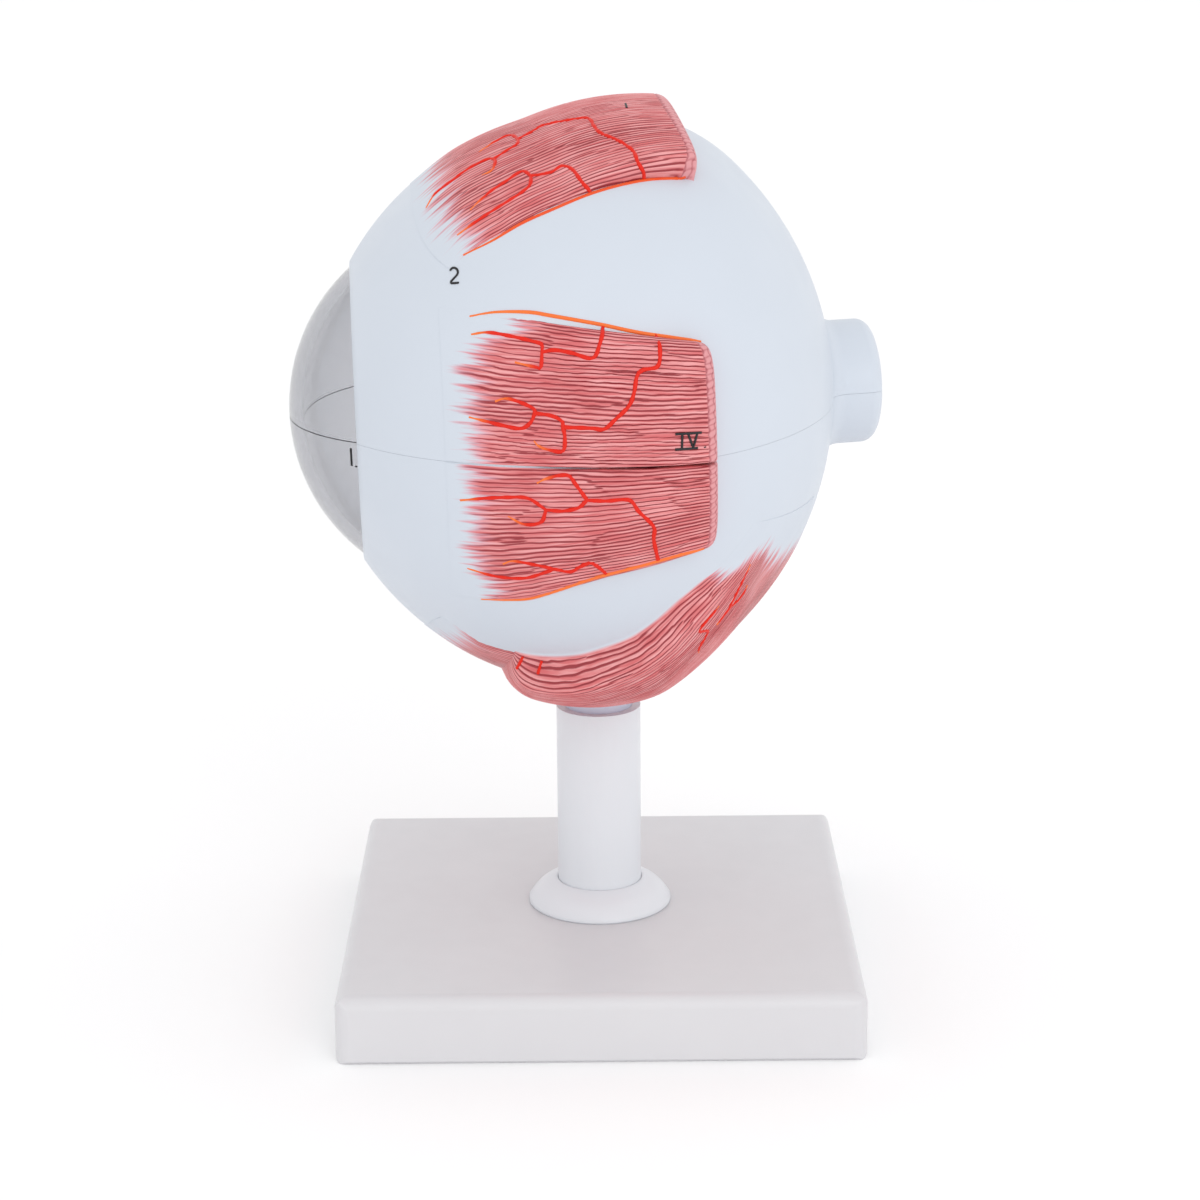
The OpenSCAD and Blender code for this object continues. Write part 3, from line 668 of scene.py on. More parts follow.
def groove_field(seed, along, across):
    """How deep each point lies in a groove, 0 to 1. Two sets of lines share the surface."""
    rng = np.random.default_rng(seed)
    drift = 0.5 * waves(rng, along, across, 7, 60, 26) + 0.07 * waves(rng, along, across, 6, 6, 3)
    which = waves(rng, along, across, 5, 40, 9)
    depth = np.zeros(np.shape(along))
    for step, offset, part in ((GROOVE_STEP, 0.0, ramp(which, -0.2, 0.0)),
                               (GROOVE_STEP * 1.18, 0.4, 1 - ramp(which, 0.0, 0.2))):
        phase = (across + drift) / step + offset
        line = np.round(phase)
        width = GROOVE_WIDTH * (1 + 0.3 * np.sin(line * 12.9 + 2))
        power = 0.86 + 0.14 * np.sin(line * 78.2 + along / (7 + 3 * np.sin(line * 3.7)))
        here = np.exp(-(((phase - line) * step / width) ** 2)) * power
        depth = np.maximum(depth, here * part)
    return depth


# %% [markdown]
# The cut end of a straight muscle is a rounded roll with a plaited relief, a lighter strip
# behind the fibres. The grid's columns crowd together there.

# %% A muscle from its grid
END_ROLL = 3.3
SINK = 0.6
RELIEF = {}


def plait_field(to_end, across):
    """Relief of the cut end: a border line, a wavy line and short slanting ones between."""
    border = np.exp(-((to_end - 2.95 - 0.16 * np.sin(2 * pi * across / 2.3)) / 0.17) ** 2)
    middle = np.exp(-((to_end - 1.45 - 0.26 * np.sin(2 * pi * across / 2.9 + 1)) / 0.17) ** 2)
    slant = across / 1.45 + 0.3 * to_end + 0.15 * np.sin(across)
    loops = np.exp(-((slant - np.round(slant)) / 0.14) ** 2) * ramp(to_end, 0.4, 0.9)
    return np.clip(border + 0.8 * middle + 0.55 * loops, 0, 1)


def grid_quads(ids):
    return np.stack([ids[:-1, :-1], ids[1:, :-1], ids[1:, 1:], ids[:-1, 1:]], -1).reshape(-1, 4)


def muscle_piece(name, directions, height, along, across, body, seed, replaces=(),
                 to_end=None, bare=0.0, groove_fade=1.0, lift_off=0.0):
    """Closed cushion: (n, m, 3) directions, and (n, m) heights and fibre distances in mm."""
    grooves = groove_field(seed, along, across) * groove_fade
    cut = np.zeros_like(height)
    if to_end is not None:
        cut = 1 - ramp(to_end, END_ROLL - 0.4, END_ROLL - 0.1)
        grooves = grooves * (1 - cut) + cut * plait_field(to_end, across)
    carve = GROOVE_DEPTH * grooves * ramp(height, 0.15, 1.2)
    top = globe_point(directions, 0, height - carve)
    under = globe_point(directions, SINK)
    RELIEF[name] = (directions.reshape(-1, 3), height.ravel())
    n, m = height.shape
    ids = np.arange(n * m).reshape(n, m)
    rim = np.concatenate([ids[0, :-1], ids[:-1, -1], ids[-1, :0:-1], ids[:0:-1, 0]])
    side = np.stack([rim, np.roll(rim, -1), np.roll(rim, -1) + n * m, rim + n * m], -1)
    faces = np.concatenate([grid_quads(ids), grid_quads(ids)[:, ::-1] + n * m, side]).tolist()
    fibre = np.stack([along - lift_off, across, cut], -1).reshape(-1, 3)
    bare = bare + np.zeros_like(height)
    return finish_piece(
        name, np.concatenate([top.reshape(-1, 3), under.reshape(-1, 3)]), faces, MUSCLE_PAINT,
        body, "muscle_paint", replaces, crisp=radians(65), attributes={
            "fibre": np.tile(fibre, (2, 1)), "groove": np.tile(grooves.ravel(), 2),
            "bare": np.tile(bare.ravel(), 2)})


def columns_to_end(start, rear, roll, step):
    """x, distance run from the start, and distance left to the cut end, for rows of a grid."""
    share = np.linspace(0, 1, int(np.mean(rear - start) / step), endpoint=False)[:, None]
    last = np.linspace(1, 0, 17)[:, None]
    body_length = rear - roll - start
    x = np.concatenate([start + share * body_length, rear - roll * last])
    to_end = np.concatenate([END_ROLL + (1 - share) * body_length, END_ROLL * last + 0 * rear])
    return x, x - start, to_end


def across_fibres(directions, height):
    """Distance over the relief from the grid's first row, the same all along a row."""
    top = globe_point(directions, 0, height)
    gaps = np.linalg.norm(np.diff(top, axis=1), axis=-1).mean(axis=0)
    return np.concatenate([[0], np.cumsum(gaps)])[None, :] + 0 * height


def crowded(row, more):
    """Shares from 0 to 1 that lie closer together near the edge, where the surface is steep."""
    return (1 + more) * row - more * row**3


def edge_roll(distance, width):
    """Share of the full height at a distance from the edge: a rounded shoulder."""
    t = np.clip(distance / width, -0.2, 1)
    return np.where(t > 0, np.sqrt(np.clip(1 - (1 - np.clip(t, 0, 1)) ** 2, 0, 1)), t)


def end_roll(to_end):
    """Share of the full height over the rounded cut end."""
    t = np.clip(to_end / END_ROLL, 0, 1)
    return 0.02 + 0.98 * np.sqrt(1 - (1 - t) ** 2.3)


# %% [markdown]
# The side muscles are cut in two by the seam, one half on each half of the shell. Their
# fibres fan out a little towards the front. The one on the nose side, which the picture
# doesn't show, is taken as the other's mirror image with grooves of its own.

# %% Side muscles
SIDE_FRONT, SIDE_REAR = -36.0, 20.9
SIDE_TOP = ([-36, -31, -22, -15.3, -1.9, 5, 18.4, 21],
            [31.5, 31.2, 30.2, 29.8, 27.9, 26.8, 24.4, 23.9])
SIDE_LOW = ([-36, -29.7, -24.2, -18.6, -12.6, -2.4, 8.3, 18.4, 21],
            [32.8, 32.7, 32.3, 31.0, 28.8, 25.1, 22.2, 19.2, 18.5])
MUSCLE_SEAM = 0.5
# How many mm later the paint starts near the upper and near the lower edge
LATE_PAINT = {UPPER: 11.0, LOWER: 4.0}


def side_muscle(prefix, mirror, side, seed):
    share = crowded(np.linspace(0, 1, 240), 0.3)[None, :]
    rear = SIDE_REAR - 1.8 * share**10
    x, along, to_end = columns_to_end(SIDE_FRONT + 0 * share, rear, END_ROLL + 0 * share, 0.8)
    limit = np.interp(x, *(SIDE_TOP if side == UPPER else SIDE_LOW))
    z = side * (MUSCLE_SEAM / 2 + share * (limit + 0.25 - MUSCLE_SEAM / 2))
    y = -np.sqrt(np.clip(FRONT_R**2 - (x - CENTRE[0]) ** 2 - z**2, 1, None))
    directions = toward(np.stack([x, y, z], -1))
    height = crown_rise(directions, SIDE_CROWN) * edge_roll(limit - abs(z), 2.6) * end_roll(to_end)
    height = height * (0.8 + 0.2 * edge_roll(abs(z) - MUSCLE_SEAM / 2 + 0.03, 0.5))
    across = side * (across_fibres(directions, height) + 3)
    later = ramp(share, 0.68, 1.0) * LATE_PAINT[side] + 0 * x
    if mirror:
        directions = directions * [1, -1, 1]
    half = NAME_OF[side]
    muscle_piece(f"{prefix}_muscle_{half}", directions, height, along, across, BODY_OF[side],
                 seed, [f"{prefix}_rectus_{half}"], to_end, lift_off=later)


for side, seed in ((UPPER, 11), (LOWER, 12)):
    side_muscle("lateral", False, side, seed)
    side_muscle("medial", True, side, seed + 10)

# %% [markdown]
# The upper and the lower straight muscle lie across the middle of each half. The upper one
# stands out most, and its front end is a curved brush edge.

# %% Upper and lower straight muscles
UPPER_WIDTH = ([-39, -30, -21.8, -15.5, -8.4, 2.9, 14.2, 23],
               [41, 40.4, 41, 40.4, 39.4, 36.4, 33.0, 30])
UNDER_WIDTH = ([-41, -35, -29.9, -24.6, -19.1, -10, 5, 21],
               [34, 34.8, 34.6, 37.2, 39.5, 39.6, 36.6, 33])


def upright_directions(x, y, side):
    z = side * np.sqrt(np.clip(FRONT_R**2 - (x - CENTRE[0]) ** 2 - y**2, 1, None))
    return toward(np.stack(np.broadcast_arrays(x, y, z), -1))


def upright_muscle(name, side, crown, width, front, bow, foot, middle, film, seed, node):
    """front and bow give the curved front end; foot and middle are the x of the cut end, beside
    the globe and on the crown; film is the least rise behind the front end."""
    share = crowded(np.linspace(-1, 1, 560), 0.25)[None, :]
    crest = 1 - share**2
    rear = foot + (middle - foot) * crest - 1.5 * share**12
    x, along, to_end = columns_to_end(front + bow * share**4, rear, END_ROLL + 1.6 * crest, 1.1)
    half_width = np.interp(x, *width)
    y = share * (half_width + 0.25)
    directions = upright_directions(x, y, side)
    coat = FILM + film * ramp(along, 1, 12)
    rise = (crown_rise if side == UPPER else tapered_rise)(directions, crown, coat)
    height = rise * edge_roll(half_width - abs(y), 3.0) * end_roll(to_end)
    across = across_fibres(directions, height)
    muscle_piece(name, directions, height, along, across, BODY_OF[side], seed, [node],
                 to_end)


upright_muscle("upper_muscle", UPPER, UPPER_CROWN, UPPER_WIDTH, front=-40.5, bow=7.5, foot=22.4,
               middle=19.2, film=0.5, seed=31, node="superior_rectus")
upright_muscle("under_muscle", LOWER, UNDER_CROWN, UNDER_WIDTH, front=-42.0, bow=4.0, foot=21.5,
               middle=19.8, film=0.1, seed=32, node="inferior_rectus")

# %% [markdown]
# The slanted lower muscle fans out on the temple side behind, dips under the globe as a thick
# belly and ends over the straight one. Its grid lies between its near and its far edge, two
# curves on the globe, and its upper edge rises out of the shell in a soft enamelled fillet.
# Its paint lifts off in a slanting line, so the strokes start later near the upper edge.

# %% Slanted lower muscle
NEAR_EDGE = [(31.5, -52, -18), (24.3, -53.4, -25.2), (18.4, -55.6, -29.4), (13, -55.4, -33.6),
             (7.7, -53, -38.7), (2.4, -50.3, -42.7), (-3, -47.9, -45.2), (-8.3, -44.9, -47.6),
             (-13.7, -42.3, -48.4), (-19.1, -40, -48.4), (-24.5, -37.6, -47.6)]
FAR_EDGE = [(52, -28, -21), (50, -20, -38), (42, -12, -50), (31, -5, -59), (20, 2, -63.3),
            (11, 8.5, -64.6), (2, 14, -64.5), (-6, 19, -63.6), (-13.5, 23, -62.3),
            (-20, 26, -59.5), (-25, 28, -57)]
NEAR_OVERLAP = 0.025


def curve_on_globe(points, count):
    """Evenly spaced directions along a smooth curve through points near the globe."""
    spots = toward(points)
    steps = np.linalg.norm(np.diff(spots, axis=0), axis=1)
    t = np.concatenate([[0], np.cumsum(steps)]) / steps.sum()
    fine = np.linspace(0, 1, 400)
    line = np.stack([np.interp(fine, t, spots[:, k]) for k in range(3)], -1)
    kernel = np.hanning(41)
    kernel /= kernel.sum()
    padded = np.pad(line, ((20, 20), (0, 0)), mode="reflect", reflect_type="odd")
    line = np.stack([np.convolve(padded[:, k], kernel, "valid") for k in range(3)], -1)
    pick = np.linspace(0, 1, count)
    return unit(np.stack([np.interp(pick, fine, line[:, k]) for k in range(3)], -1))


def slanted_muscle():
    rows, columns = 500, 96
    near, far = curve_on_globe(NEAR_EDGE, columns), curve_on_globe(FAR_EDGE, columns)
    share = np.linspace(-NEAR_OVERLAP, 1, rows)
    directions = unit(slerp(near, far, share))
    share = share[None, :]
    step = np.linalg.norm(np.diff(directions, axis=0), axis=-1).mean(axis=1) * FRONT_R
    along = np.concatenate([[0], np.cumsum(step)])[:, None] + 0 * share
    span = np.arccos(np.clip(np.sum(near * far, -1), -1, 1))[:, None] * FRONT_R
    from_edge = share * span
    across = from_edge
    from_end = along[-1:, :] - along
    rise = tapered_rise(directions, SLANT_CROWN)
    height = rise * ramp(from_edge, -1.2, 6.5) * edge_roll(from_end - 4.0, 9.5)
    height = np.where(share < 0.005 - NEAR_OVERLAP, -0.05, np.maximum(height, -0.45))
    bare = 1 - ramp(from_edge, -0.7, 0.2)
    later = 14.5 - 10.5 * ramp(share, 0.0, 0.24) + 4.0 * ramp(share, 0.24, 0.5)
    muscle_piece("slanted_muscle", directions, height, along, across, "lower_eye", 41,
                 ["inferior_oblique"], bare=bare, groove_fade=ramp(from_edge, -0.3, 1.0),
                 lift_off=later)


slanted_muscle()

# %% [markdown]
# The upper slanted muscle's tendon comes out from under the upper muscle on the nose side
# and is cut off short. It hides in the picture, so its size is a guess.

# %% Upper slanted muscle's tendon
TENDON = [[(2, 34.5), (13.5, 33.5)], [(1.0, 40), (12, 41)], [(-1.5, 47), (9, 48.5)],
          [(-4, 54), (6, 56)]]
TENDON_RISE, TENDON_WIDTH, TENDON_LENGTH = 2.0, 11.0, 22.0


def tendon():
    t = np.linspace(0, 3, 70)
    corners = np.array(TENDON, float)
    near, far = (np.stack([np.interp(t, range(4), corners[:, edge, k]) for k in range(2)], -1)
                 for edge in range(2))
    share = np.linspace(0, 1, 64)[None, :]
    x, y = (near[:, k:k + 1] * (1 - share) + far[:, k:k + 1] * share for k in range(2))
    directions = upright_directions(x, y, UPPER)
    along = (t * TENDON_LENGTH / 3)[:, None] + 0 * x
    across = share * TENDON_WIDTH + 0 * x
    to_end = TENDON_LENGTH - along
    from_side = TENDON_WIDTH / 2 - abs(across - TENDON_WIDTH / 2)
    height = TENDON_RISE * edge_roll(from_side, 1.6) * end_roll(to_end)
    muscle_piece("upper_tendon", directions, height, along + 20, across, "upper_eye", 51,
                 ["superior_oblique"], to_end)


tendon()

# %% [markdown]
# ## Coats, iris and lens
# Inside the lifted halves are the brown and the orange coat, each a thin shell of its own.
# They are the globe's surface drawn in, so they come from the same grid of directions.

# %% Brown and orange coats
CHOROID_FRONT, RETINA_FRONT, VITREOUS_FRONT = RIM_X + 8.1, RIM_X + 29.1, RIM_X + 19.1
# Depth under the globe's surface, and wall
CHOROID, RETINA, VITREOUS = (4.5, 2.0), (6.6, 1.2), (8.3, 2.0)
COAT_GAP, COAT_PLAY = 0.3, 0.02


def coat_points(angles, side, depth, wall, front_x, rows=56):
    """Outer and inner rows of a coat, from its front edge to the pole behind."""
    share = np.linspace(0, 1, rows)
    paths = []
    for skin in (depth, depth + wall):
        r = sqrt((FRONT_R - skin) ** 2 - (CENTRE[0] - front_x) ** 2)
        front = toward(ring_points([front_x], [r], angles, side)[:, 0])
        back = np.broadcast_to([1.0, 0.0, 0.0], front.shape)
        paths.append(globe_point(slerp(front, back, share), skin))
    return paths


def coat_half(name, node, side, coat, front_x, finish):
    depth, wall = coat
    rows = coat_points(np.linspace(0, pi, 97), side, depth + COAT_PLAY, wall - 2 * COAT_PLAY,
                       front_x)
    half_piece(f"{name}_coat", node, rows, side, COAT_GAP, finish, COATS_OF, f"{node}_paint")


for side in (UPPER, LOWER):
    coat_half("brown", "choroid", side, CHOROID, CHOROID_FRONT, CHOROID_PAINT)
    coat_half("orange", "retina", side, RETINA, RETINA_FRONT, RETINA_PAINT)

# %% [markdown]
# The iris is a disc with a pupil. Its front is moulded in folds that run from the pupil's
# thick frill to the outer edge, so its height is a sum of waves round the turn.

# %% Iris halves
IRIS_R, PUPIL_R = 35.9, 11.0


def iris_half(side):
    rng = np.random.default_rng(7)
    angles, share = np.linspace(0, pi, 361), np.linspace(0, 1, 44)
    radii = PUPIL_R + (IRIS_R - PUPIL_R) * share
    folds = sum(np.cos(k * angles + p) for k, p in zip((31, 43, 59, 83), rng.uniform(0, 6, 4)))
    wave = 0.5 + 0.5 * np.tanh(folds[:, None] * 0.6 + np.sin(share * 9)[None, :])
    frill = np.exp(-((share - 0.24) / 0.1) ** 2)[None, :]
    height = 0.95 + 0.35 * wave * ramp(share, 0, 0.1) * ramp(1 - share, 0, 0.15) + 0.15 * frill
    front = ring_points(0 * radii, radii, angles, side)
    front[..., 0] = CHOROID_FRONT - height
    back = ring_points(0 * radii + CHOROID_FRONT - 0.02, radii, angles, side)
    both = np.concatenate([share, share[::-1]])
    turn, out = np.broadcast_arrays(angles[:, None, None] * 14, both[None, :, None])
    rays = np.concatenate([turn, out, 0 * out], axis=-1).reshape(-1, 3)
    half_piece("blue_iris", "iris", (front, back), side, COAT_GAP, IRIS_PAINT, COATS_OF,
               "iris_paint", merge=False, attributes={"rays": rays}, crisp=radians(50))


for side in (UPPER, LOWER):
    iris_half(side)

# %% [markdown]
# The ciliary body is a brown ring round the lens with some seventy pleats. The ring is a
# swept section. The pleats repeat, so a Geometry Nodes tree sets one blade round the ring:
# its inputs are their count, the arc that they share and how much their sizes differ.

# %% Geometry Nodes helpers
def new_tree(name, **sizes):
    """A geometry tree with a Geometry input and output, and float inputs of these names."""
    tree = bpy.data.node_groups.new(name, "GeometryNodeTree")
    tree.interface.new_socket(name="Geometry", in_out="INPUT", socket_type="NodeSocketGeometry")
    for label in sizes:
        tree.interface.new_socket(name=label, in_out="INPUT", socket_type="NodeSocketFloat")
    tree.interface.new_socket(name="Geometry", in_out="OUTPUT", socket_type="NodeSocketGeometry")
    return tree, add_node(tree, "NodeGroupInput"), add_node(tree, "NodeGroupOutput")


def grow(name, mesh, tree, **sizes):
    """Runs a tree on a mesh with these inputs and returns the result as a plain mesh."""
    seed = new_object(name, mesh)
    modifier = seed.modifiers.new(name, "NODES")
    modifier.node_group = tree
    for item in tree.interface.items_tree:
        if item.in_out == "INPUT" and item.name in sizes:
            modifier[item.identifier] = float(sizes[item.name])
    depsgraph = bpy.context.evaluated_depsgraph_get()
    grown = bpy.data.meshes.new_from_object(seed.evaluated_get(depsgraph), depsgraph=depsgraph)
    bpy.data.objects.remove(seed)
    grown.name = name
    return grown


# %% Ciliary ring and its pleats
def ciliary_section():
    front, rear = CHOROID_FRONT + 0.15, CHOROID_FRONT + 8.9
    skin = FRONT_R - 6.65
    x = np.linspace(front, rear, 9)
    outer = (x, np.sqrt(skin**2 - (CENTRE[0] - x) ** 2))
    inner_x = [front, front + 2.4, front + 3.4, front + 4.4, front + 5.6, rear - 2, rear - 1,
               rear - 0.3, rear]
    inner_r = [30.5, 28.4, 27.8, 28.0, 29.6, 35.2, 37.6, 39.2, 39.6]
    return outer, (inner_x, inner_r)


def pleat():
    """One blade in the plane of X and Y, pointing to the axis. It is 0.8 mm thick."""
    profile = [(0.6, 31.5), (1.6, 27.6), (3.0, 25.9), (4.2, 26.0), (5.4, 29.2), (6.6, 33.0),
               (6.0, 34.0), (3.0, 33.0)]
    rounds = [(-0.28, 0.8), (-0.42, 1.0), (0.42, 1.0), (0.28, 0.8)]
    middle = np.mean(profile, axis=0)
    points, faces, count = [], [], len(profile)
    for z, scale in rounds:
        for x, r in profile:
            px, pr = middle + (np.array([x, r]) - middle) * scale
            points.append((CHOROID_FRONT + px, pr, z))
    for layer in range(3):
        a, b = layer * count, (layer + 1) * count
        faces += [(a + k, a + (k + 1) % count, b + (k + 1) % count, b + k) for k in range(count)]
    faces += [tuple(range(count)), tuple(range(3 * count, 4 * count))]
    mesh = bpy.data.meshes.new("pleat")
    mesh.from_pydata(points, [], faces)
    shell = bmesh.new()
    shell.from_mesh(mesh)
    bmesh.ops.recalc_face_normals(shell, faces=shell.faces)
    shell.to_mesh(mesh)
    shell.free()
    mesh.shade_smooth()
    return mesh


def pleat_tree():
    tree, given, result = new_tree("pleats_round_the_lens", Count=0, Start=0, Span=0, Uneven=0)
    spots = add_node(tree, "GeometryNodePoints", Count=given.outputs["Count"])
    order = add_node(tree, "GeometryNodeInputIndex")
    middle = add_node(tree, MATH, {"operation": "ADD"}, i0=order, i1=0.5)
    share = add_node(tree, MATH, {"operation": "DIVIDE"}, i0=middle,
                     i1=given.outputs["Count"])
    angle = add_node(tree, MATH, {"operation": "MULTIPLY_ADD"}, i0=share,
                     i1=given.outputs["Span"], i2=given.outputs["Start"])
    turn = add_node(tree, COMBINE, X=angle)
    least = add_node(tree, MATH, {"operation": "SUBTRACT"}, i0=1.0,
                     i1=given.outputs["Uneven"])
    uneven = add_node(tree, "FunctionNodeRandomValue", {"data_type": "FLOAT"}, Min=least,
                      Max=1.0, Seed=5)
    size = add_node(tree, COMBINE, X=1.0, Y=1.0, Z=uneven)
    blades = add_node(tree, "GeometryNodeInstanceOnPoints", Points=spots,
                      Instance=given.outputs["Geometry"], Rotation=turn, Scale=size)
    solid = add_node(tree, "GeometryNodeRealizeInstances", Geometry=blades)
    painted = add_node(tree, "GeometryNodeSetMaterial", Geometry=solid, Material=CILIARY_PAINT)
    connect(tree, result, Geometry=painted)
    return tree


ON_STAND = (Matrix.Translation((0, 0, EYE_HEIGHT * MM)) @ Matrix(EYE_ROTATION.tolist()).to_4x4()
            @ Matrix.Scale(MM, 4))
PLEAT_COUNT = 34


def ciliary_half(side):
    angles, half = np.linspace(0, pi, 121), NAME_OF[side]
    rows = [ring_points(*path, angles, side) for path in ciliary_section()]
    half_piece("ciliary_ring", "ciliary", rows, side, COAT_GAP, CILIARY_PAINT, COATS_OF,
               "ciliary_paint", merge=False, crisp=radians(50))
    edge = radians(2.0)
    blades = grow(f"ciliary_pleats_{half}", pleat(), PLEAT_TREE, Count=PLEAT_COUNT,
                  Start=edge if side == UPPER else pi + edge, Span=pi - 2 * edge, Uneven=0.3)
    blades.transform(ON_STAND)
    adopt(blades, f"ciliary_pleats_{half}", COATS_OF[side],
          [f"ciliary_{half}"])


PLEAT_TREE = pleat_tree()
for side in (UPPER, LOWER):
    ciliary_half(side)

# %% [markdown]
# The lens and the vitreous body are clear mouldings that lift out. The lens is flatter in
# front. The vitreous body is a hollow ball, and a cup in its front face holds the lens.

# %% Lens and vitreous body
LENS_X, LENS_R, LENS_RIM = CHOROID_FRONT + 10.5, 23.99, 0.5
LENS_FRONT_R, LENS_BACK_R = 45.0, 30.0


def turned_about_x(name, x, r, finish, body, slot, replaces):
    """A closed outline of points (x, r) turned round the optical axis."""
    angles = np.linspace(0, 2 * pi, 145)[:-1]
    rows = ring_points(x, r, angles, UPPER)
    points, faces = loop_faces(rows, closed_path=not (r[0] == 0 and r[-1] == 0))
    points, faces = tidy_faces(points, faces)
    return finish_piece(name, points, faces, finish, body, slot, replaces)


def loop_faces(rows, closed_path):
    """Faces of full rings: rows is (turns, points, 3), closed round the turn."""
    turns, count = rows.shape[:2]
    last = count if closed_path else count - 1
    faces = [(i * count + k, i * count + (k + 1) % count,
              (i + 1) % turns * count + (k + 1) % count, (i + 1) % turns * count + k)
             for i in range(turns) for k in range(last)]
    return rows.reshape(-1, 3), faces


def lens():
    front_x = LENS_X - LENS_RIM + sqrt(LENS_FRONT_R**2 - LENS_R**2)
    back_x = LENS_X + LENS_RIM - sqrt(LENS_BACK_R**2 - LENS_R**2)
    fx, fr = arc_path(LENS_FRONT_R, front_x, 0, degrees(asin(LENS_R / LENS_FRONT_R)), 36)
    bx, br = arc_path(LENS_BACK_R, back_x, 180 - degrees(asin(LENS_R / LENS_BACK_R)), 180, 36)
    fr[0] = br[-1] = 0
    turned_about_x("clear_lens", np.append(fx, bx), np.append(fr, br), WATER_CLEAR, "lens_body",
                   "clear_lens", ["lens"])


def vitreous():
    turns = np.linspace(0, 2 * pi, 161)[:-1]
    outer, inner = coat_points(turns, UPPER, *VITREOUS, VITREOUS_FRONT, 60)
    points, faces = loop_faces(np.concatenate([outer, inner[:, ::-1]], axis=1), True)
    points, faces = tidy_faces(points, faces)
    finish_piece("vitreous_ball", points, faces, WATER_CLEAR, "vitreous_body", "clear_vitreous",
                 ["vitreous_shell"])
    centre = LENS_X + LENS_RIM - sqrt(LENS_BACK_R**2 - LENS_R**2)
    hollow_r, wall = LENS_BACK_R + 0.3, VITREOUS[1]
    start = degrees(asin((VITREOUS_FRONT - centre) / hollow_r))
    stop = degrees(asin((VITREOUS_FRONT + wall - centre) / (hollow_r + wall)))
    hx, hr = arc_path(hollow_r, centre, 180, 90 + start, 36)
    bx, br = arc_path(hollow_r + wall, centre, 90 + stop, 180, 36)
    hr[0] = br[-1] = 0
    mouth = sqrt((FRONT_R - sum(VITREOUS)) ** 2 - (CENTRE[0] - VITREOUS_FRONT) ** 2) - 0.1
    x = np.concatenate([hx, [VITREOUS_FRONT, VITREOUS_FRONT + wall], bx])
    r = np.concatenate([hr, [mouth, mouth], br])
    turned_about_x("vitreous_cup_front", x, r, WATER_CLEAR, "vitreous_body", "clear_vitreous",
                   ["vitreous_cup"])


lens()
vitreous()

# %% [markdown]
# ## Vessels and part numbers
# The vessels are painted lines that branch over the muscles. Each is given by a few points
# seen square on: x and z on the side, x and y on top. They are smoothed, laid on the muscle's
# own relief, and a Geometry Nodes tree makes tubes of them, half sunk in the paint. A point
# carries its brush width and how orange it is, which the tree reads as named attributes.

# %% Lay points on the eye's relief
RELIEF_REACH = 0.9


def relief_height(direction, muscle):
    """Height over the globe at a direction, from the nearest points of a muscle's grid."""
    if muscle is None:
        return 0.0
    spots, heights = RELIEF[muscle]
    gaps = FRONT_R * np.linalg.norm(spots - direction, axis=1)
    near = np.argpartition(gaps, 6)[:6]
    if gaps[near].min() > RELIEF_REACH:
        return 0.0
    weights = 1 / (gaps[near] + 0.05)
    return max(0.0, float(np.sum(heights[near] * weights) / np.sum(weights)))


def on_relief(direction, muscle):
    reach = float(globe_reach(direction[None])[0])
    return CENTRE + direction * (reach + relief_height(direction, muscle))


def laid(spot, muscle, view, sign):
    """A point of the relief. Three numbers give its direction from the eye's centre, and two
    give x, and z from the side or y from the top."""
    if len(spot) == 3:
        return on_relief(toward(np.array(spot)), muscle)
    (a, b), out = spot, FRONT_R
    for _ in range(8):
        depth = sign * sqrt(max(out**2 - (a - CENTRE[0]) ** 2 - b**2, 1.0))
        found = on_relief(toward(np.array([a, depth, b] if view == "side" else [a, b, depth])),
                          muscle)
        out = np.linalg.norm(found - CENTRE)
    return found


PATH_STEP = 0.55


def smooth_path(points, step=PATH_STEP):
    """A Catmull-Rom curve through the points, with evenly spaced points of its own."""
    p = np.asarray(points, float)
    p = np.vstack([2 * p[0] - p[1], p, 2 * p[-1] - p[-2]])
    line = []
    for a, b, c, d in zip(p, p[1:], p[2:], p[3:]):
        for t in np.linspace(0, 1, 12, endpoint=False):
            line.append(0.5 * (2 * b + (c - a) * t + (2 * a - 5 * b + 4 * c - d) * t**2
                               + (3 * b - a - 3 * c + d) * t**3))
    line = np.array(line + [p[-2]])
    run = np.concatenate([[0], np.cumsum(np.linalg.norm(np.diff(line, axis=0), axis=1))])
    pick = np.linspace(0, run[-1], max(2, int(run[-1] / step) + 1))
    return np.stack([np.interp(pick, run, line[:, k]) for k in range(line.shape[1])], -1)


# %% Tree that turns edges into brushed lines
LINE_SIDES = 8


def line_tree(name, finish):
    tree, given, result = new_tree(name, Width=0, Sides=0)
    width = add_node(tree, "GeometryNodeInputNamedAttribute", {"data_type": "FLOAT"},
                     Name="brush")
    radius = add_node(tree, MATH, {"operation": "MULTIPLY"}, i0=width,
                      i1=given.outputs["Width"])
    path = add_node(tree, "GeometryNodeMeshToCurve", Mesh=given.outputs["Geometry"])
    ring = add_node(tree, "GeometryNodeCurvePrimitiveCircle", Resolution=given.outputs["Sides"],
                    Radius=1.0)
    tube = add_node(tree, "GeometryNodeCurveToMesh", Curve=path, Profile_Curve=ring,
                    Scale=radius, Fill_Caps=True)
    solid = add_node(tree, "GeometryNodeRealizeInstances", Geometry=tube)
    painted = add_node(tree, "GeometryNodeSetMaterial", Geometry=solid, Material=finish)
    connect(tree, result, Geometry=painted)
    return tree


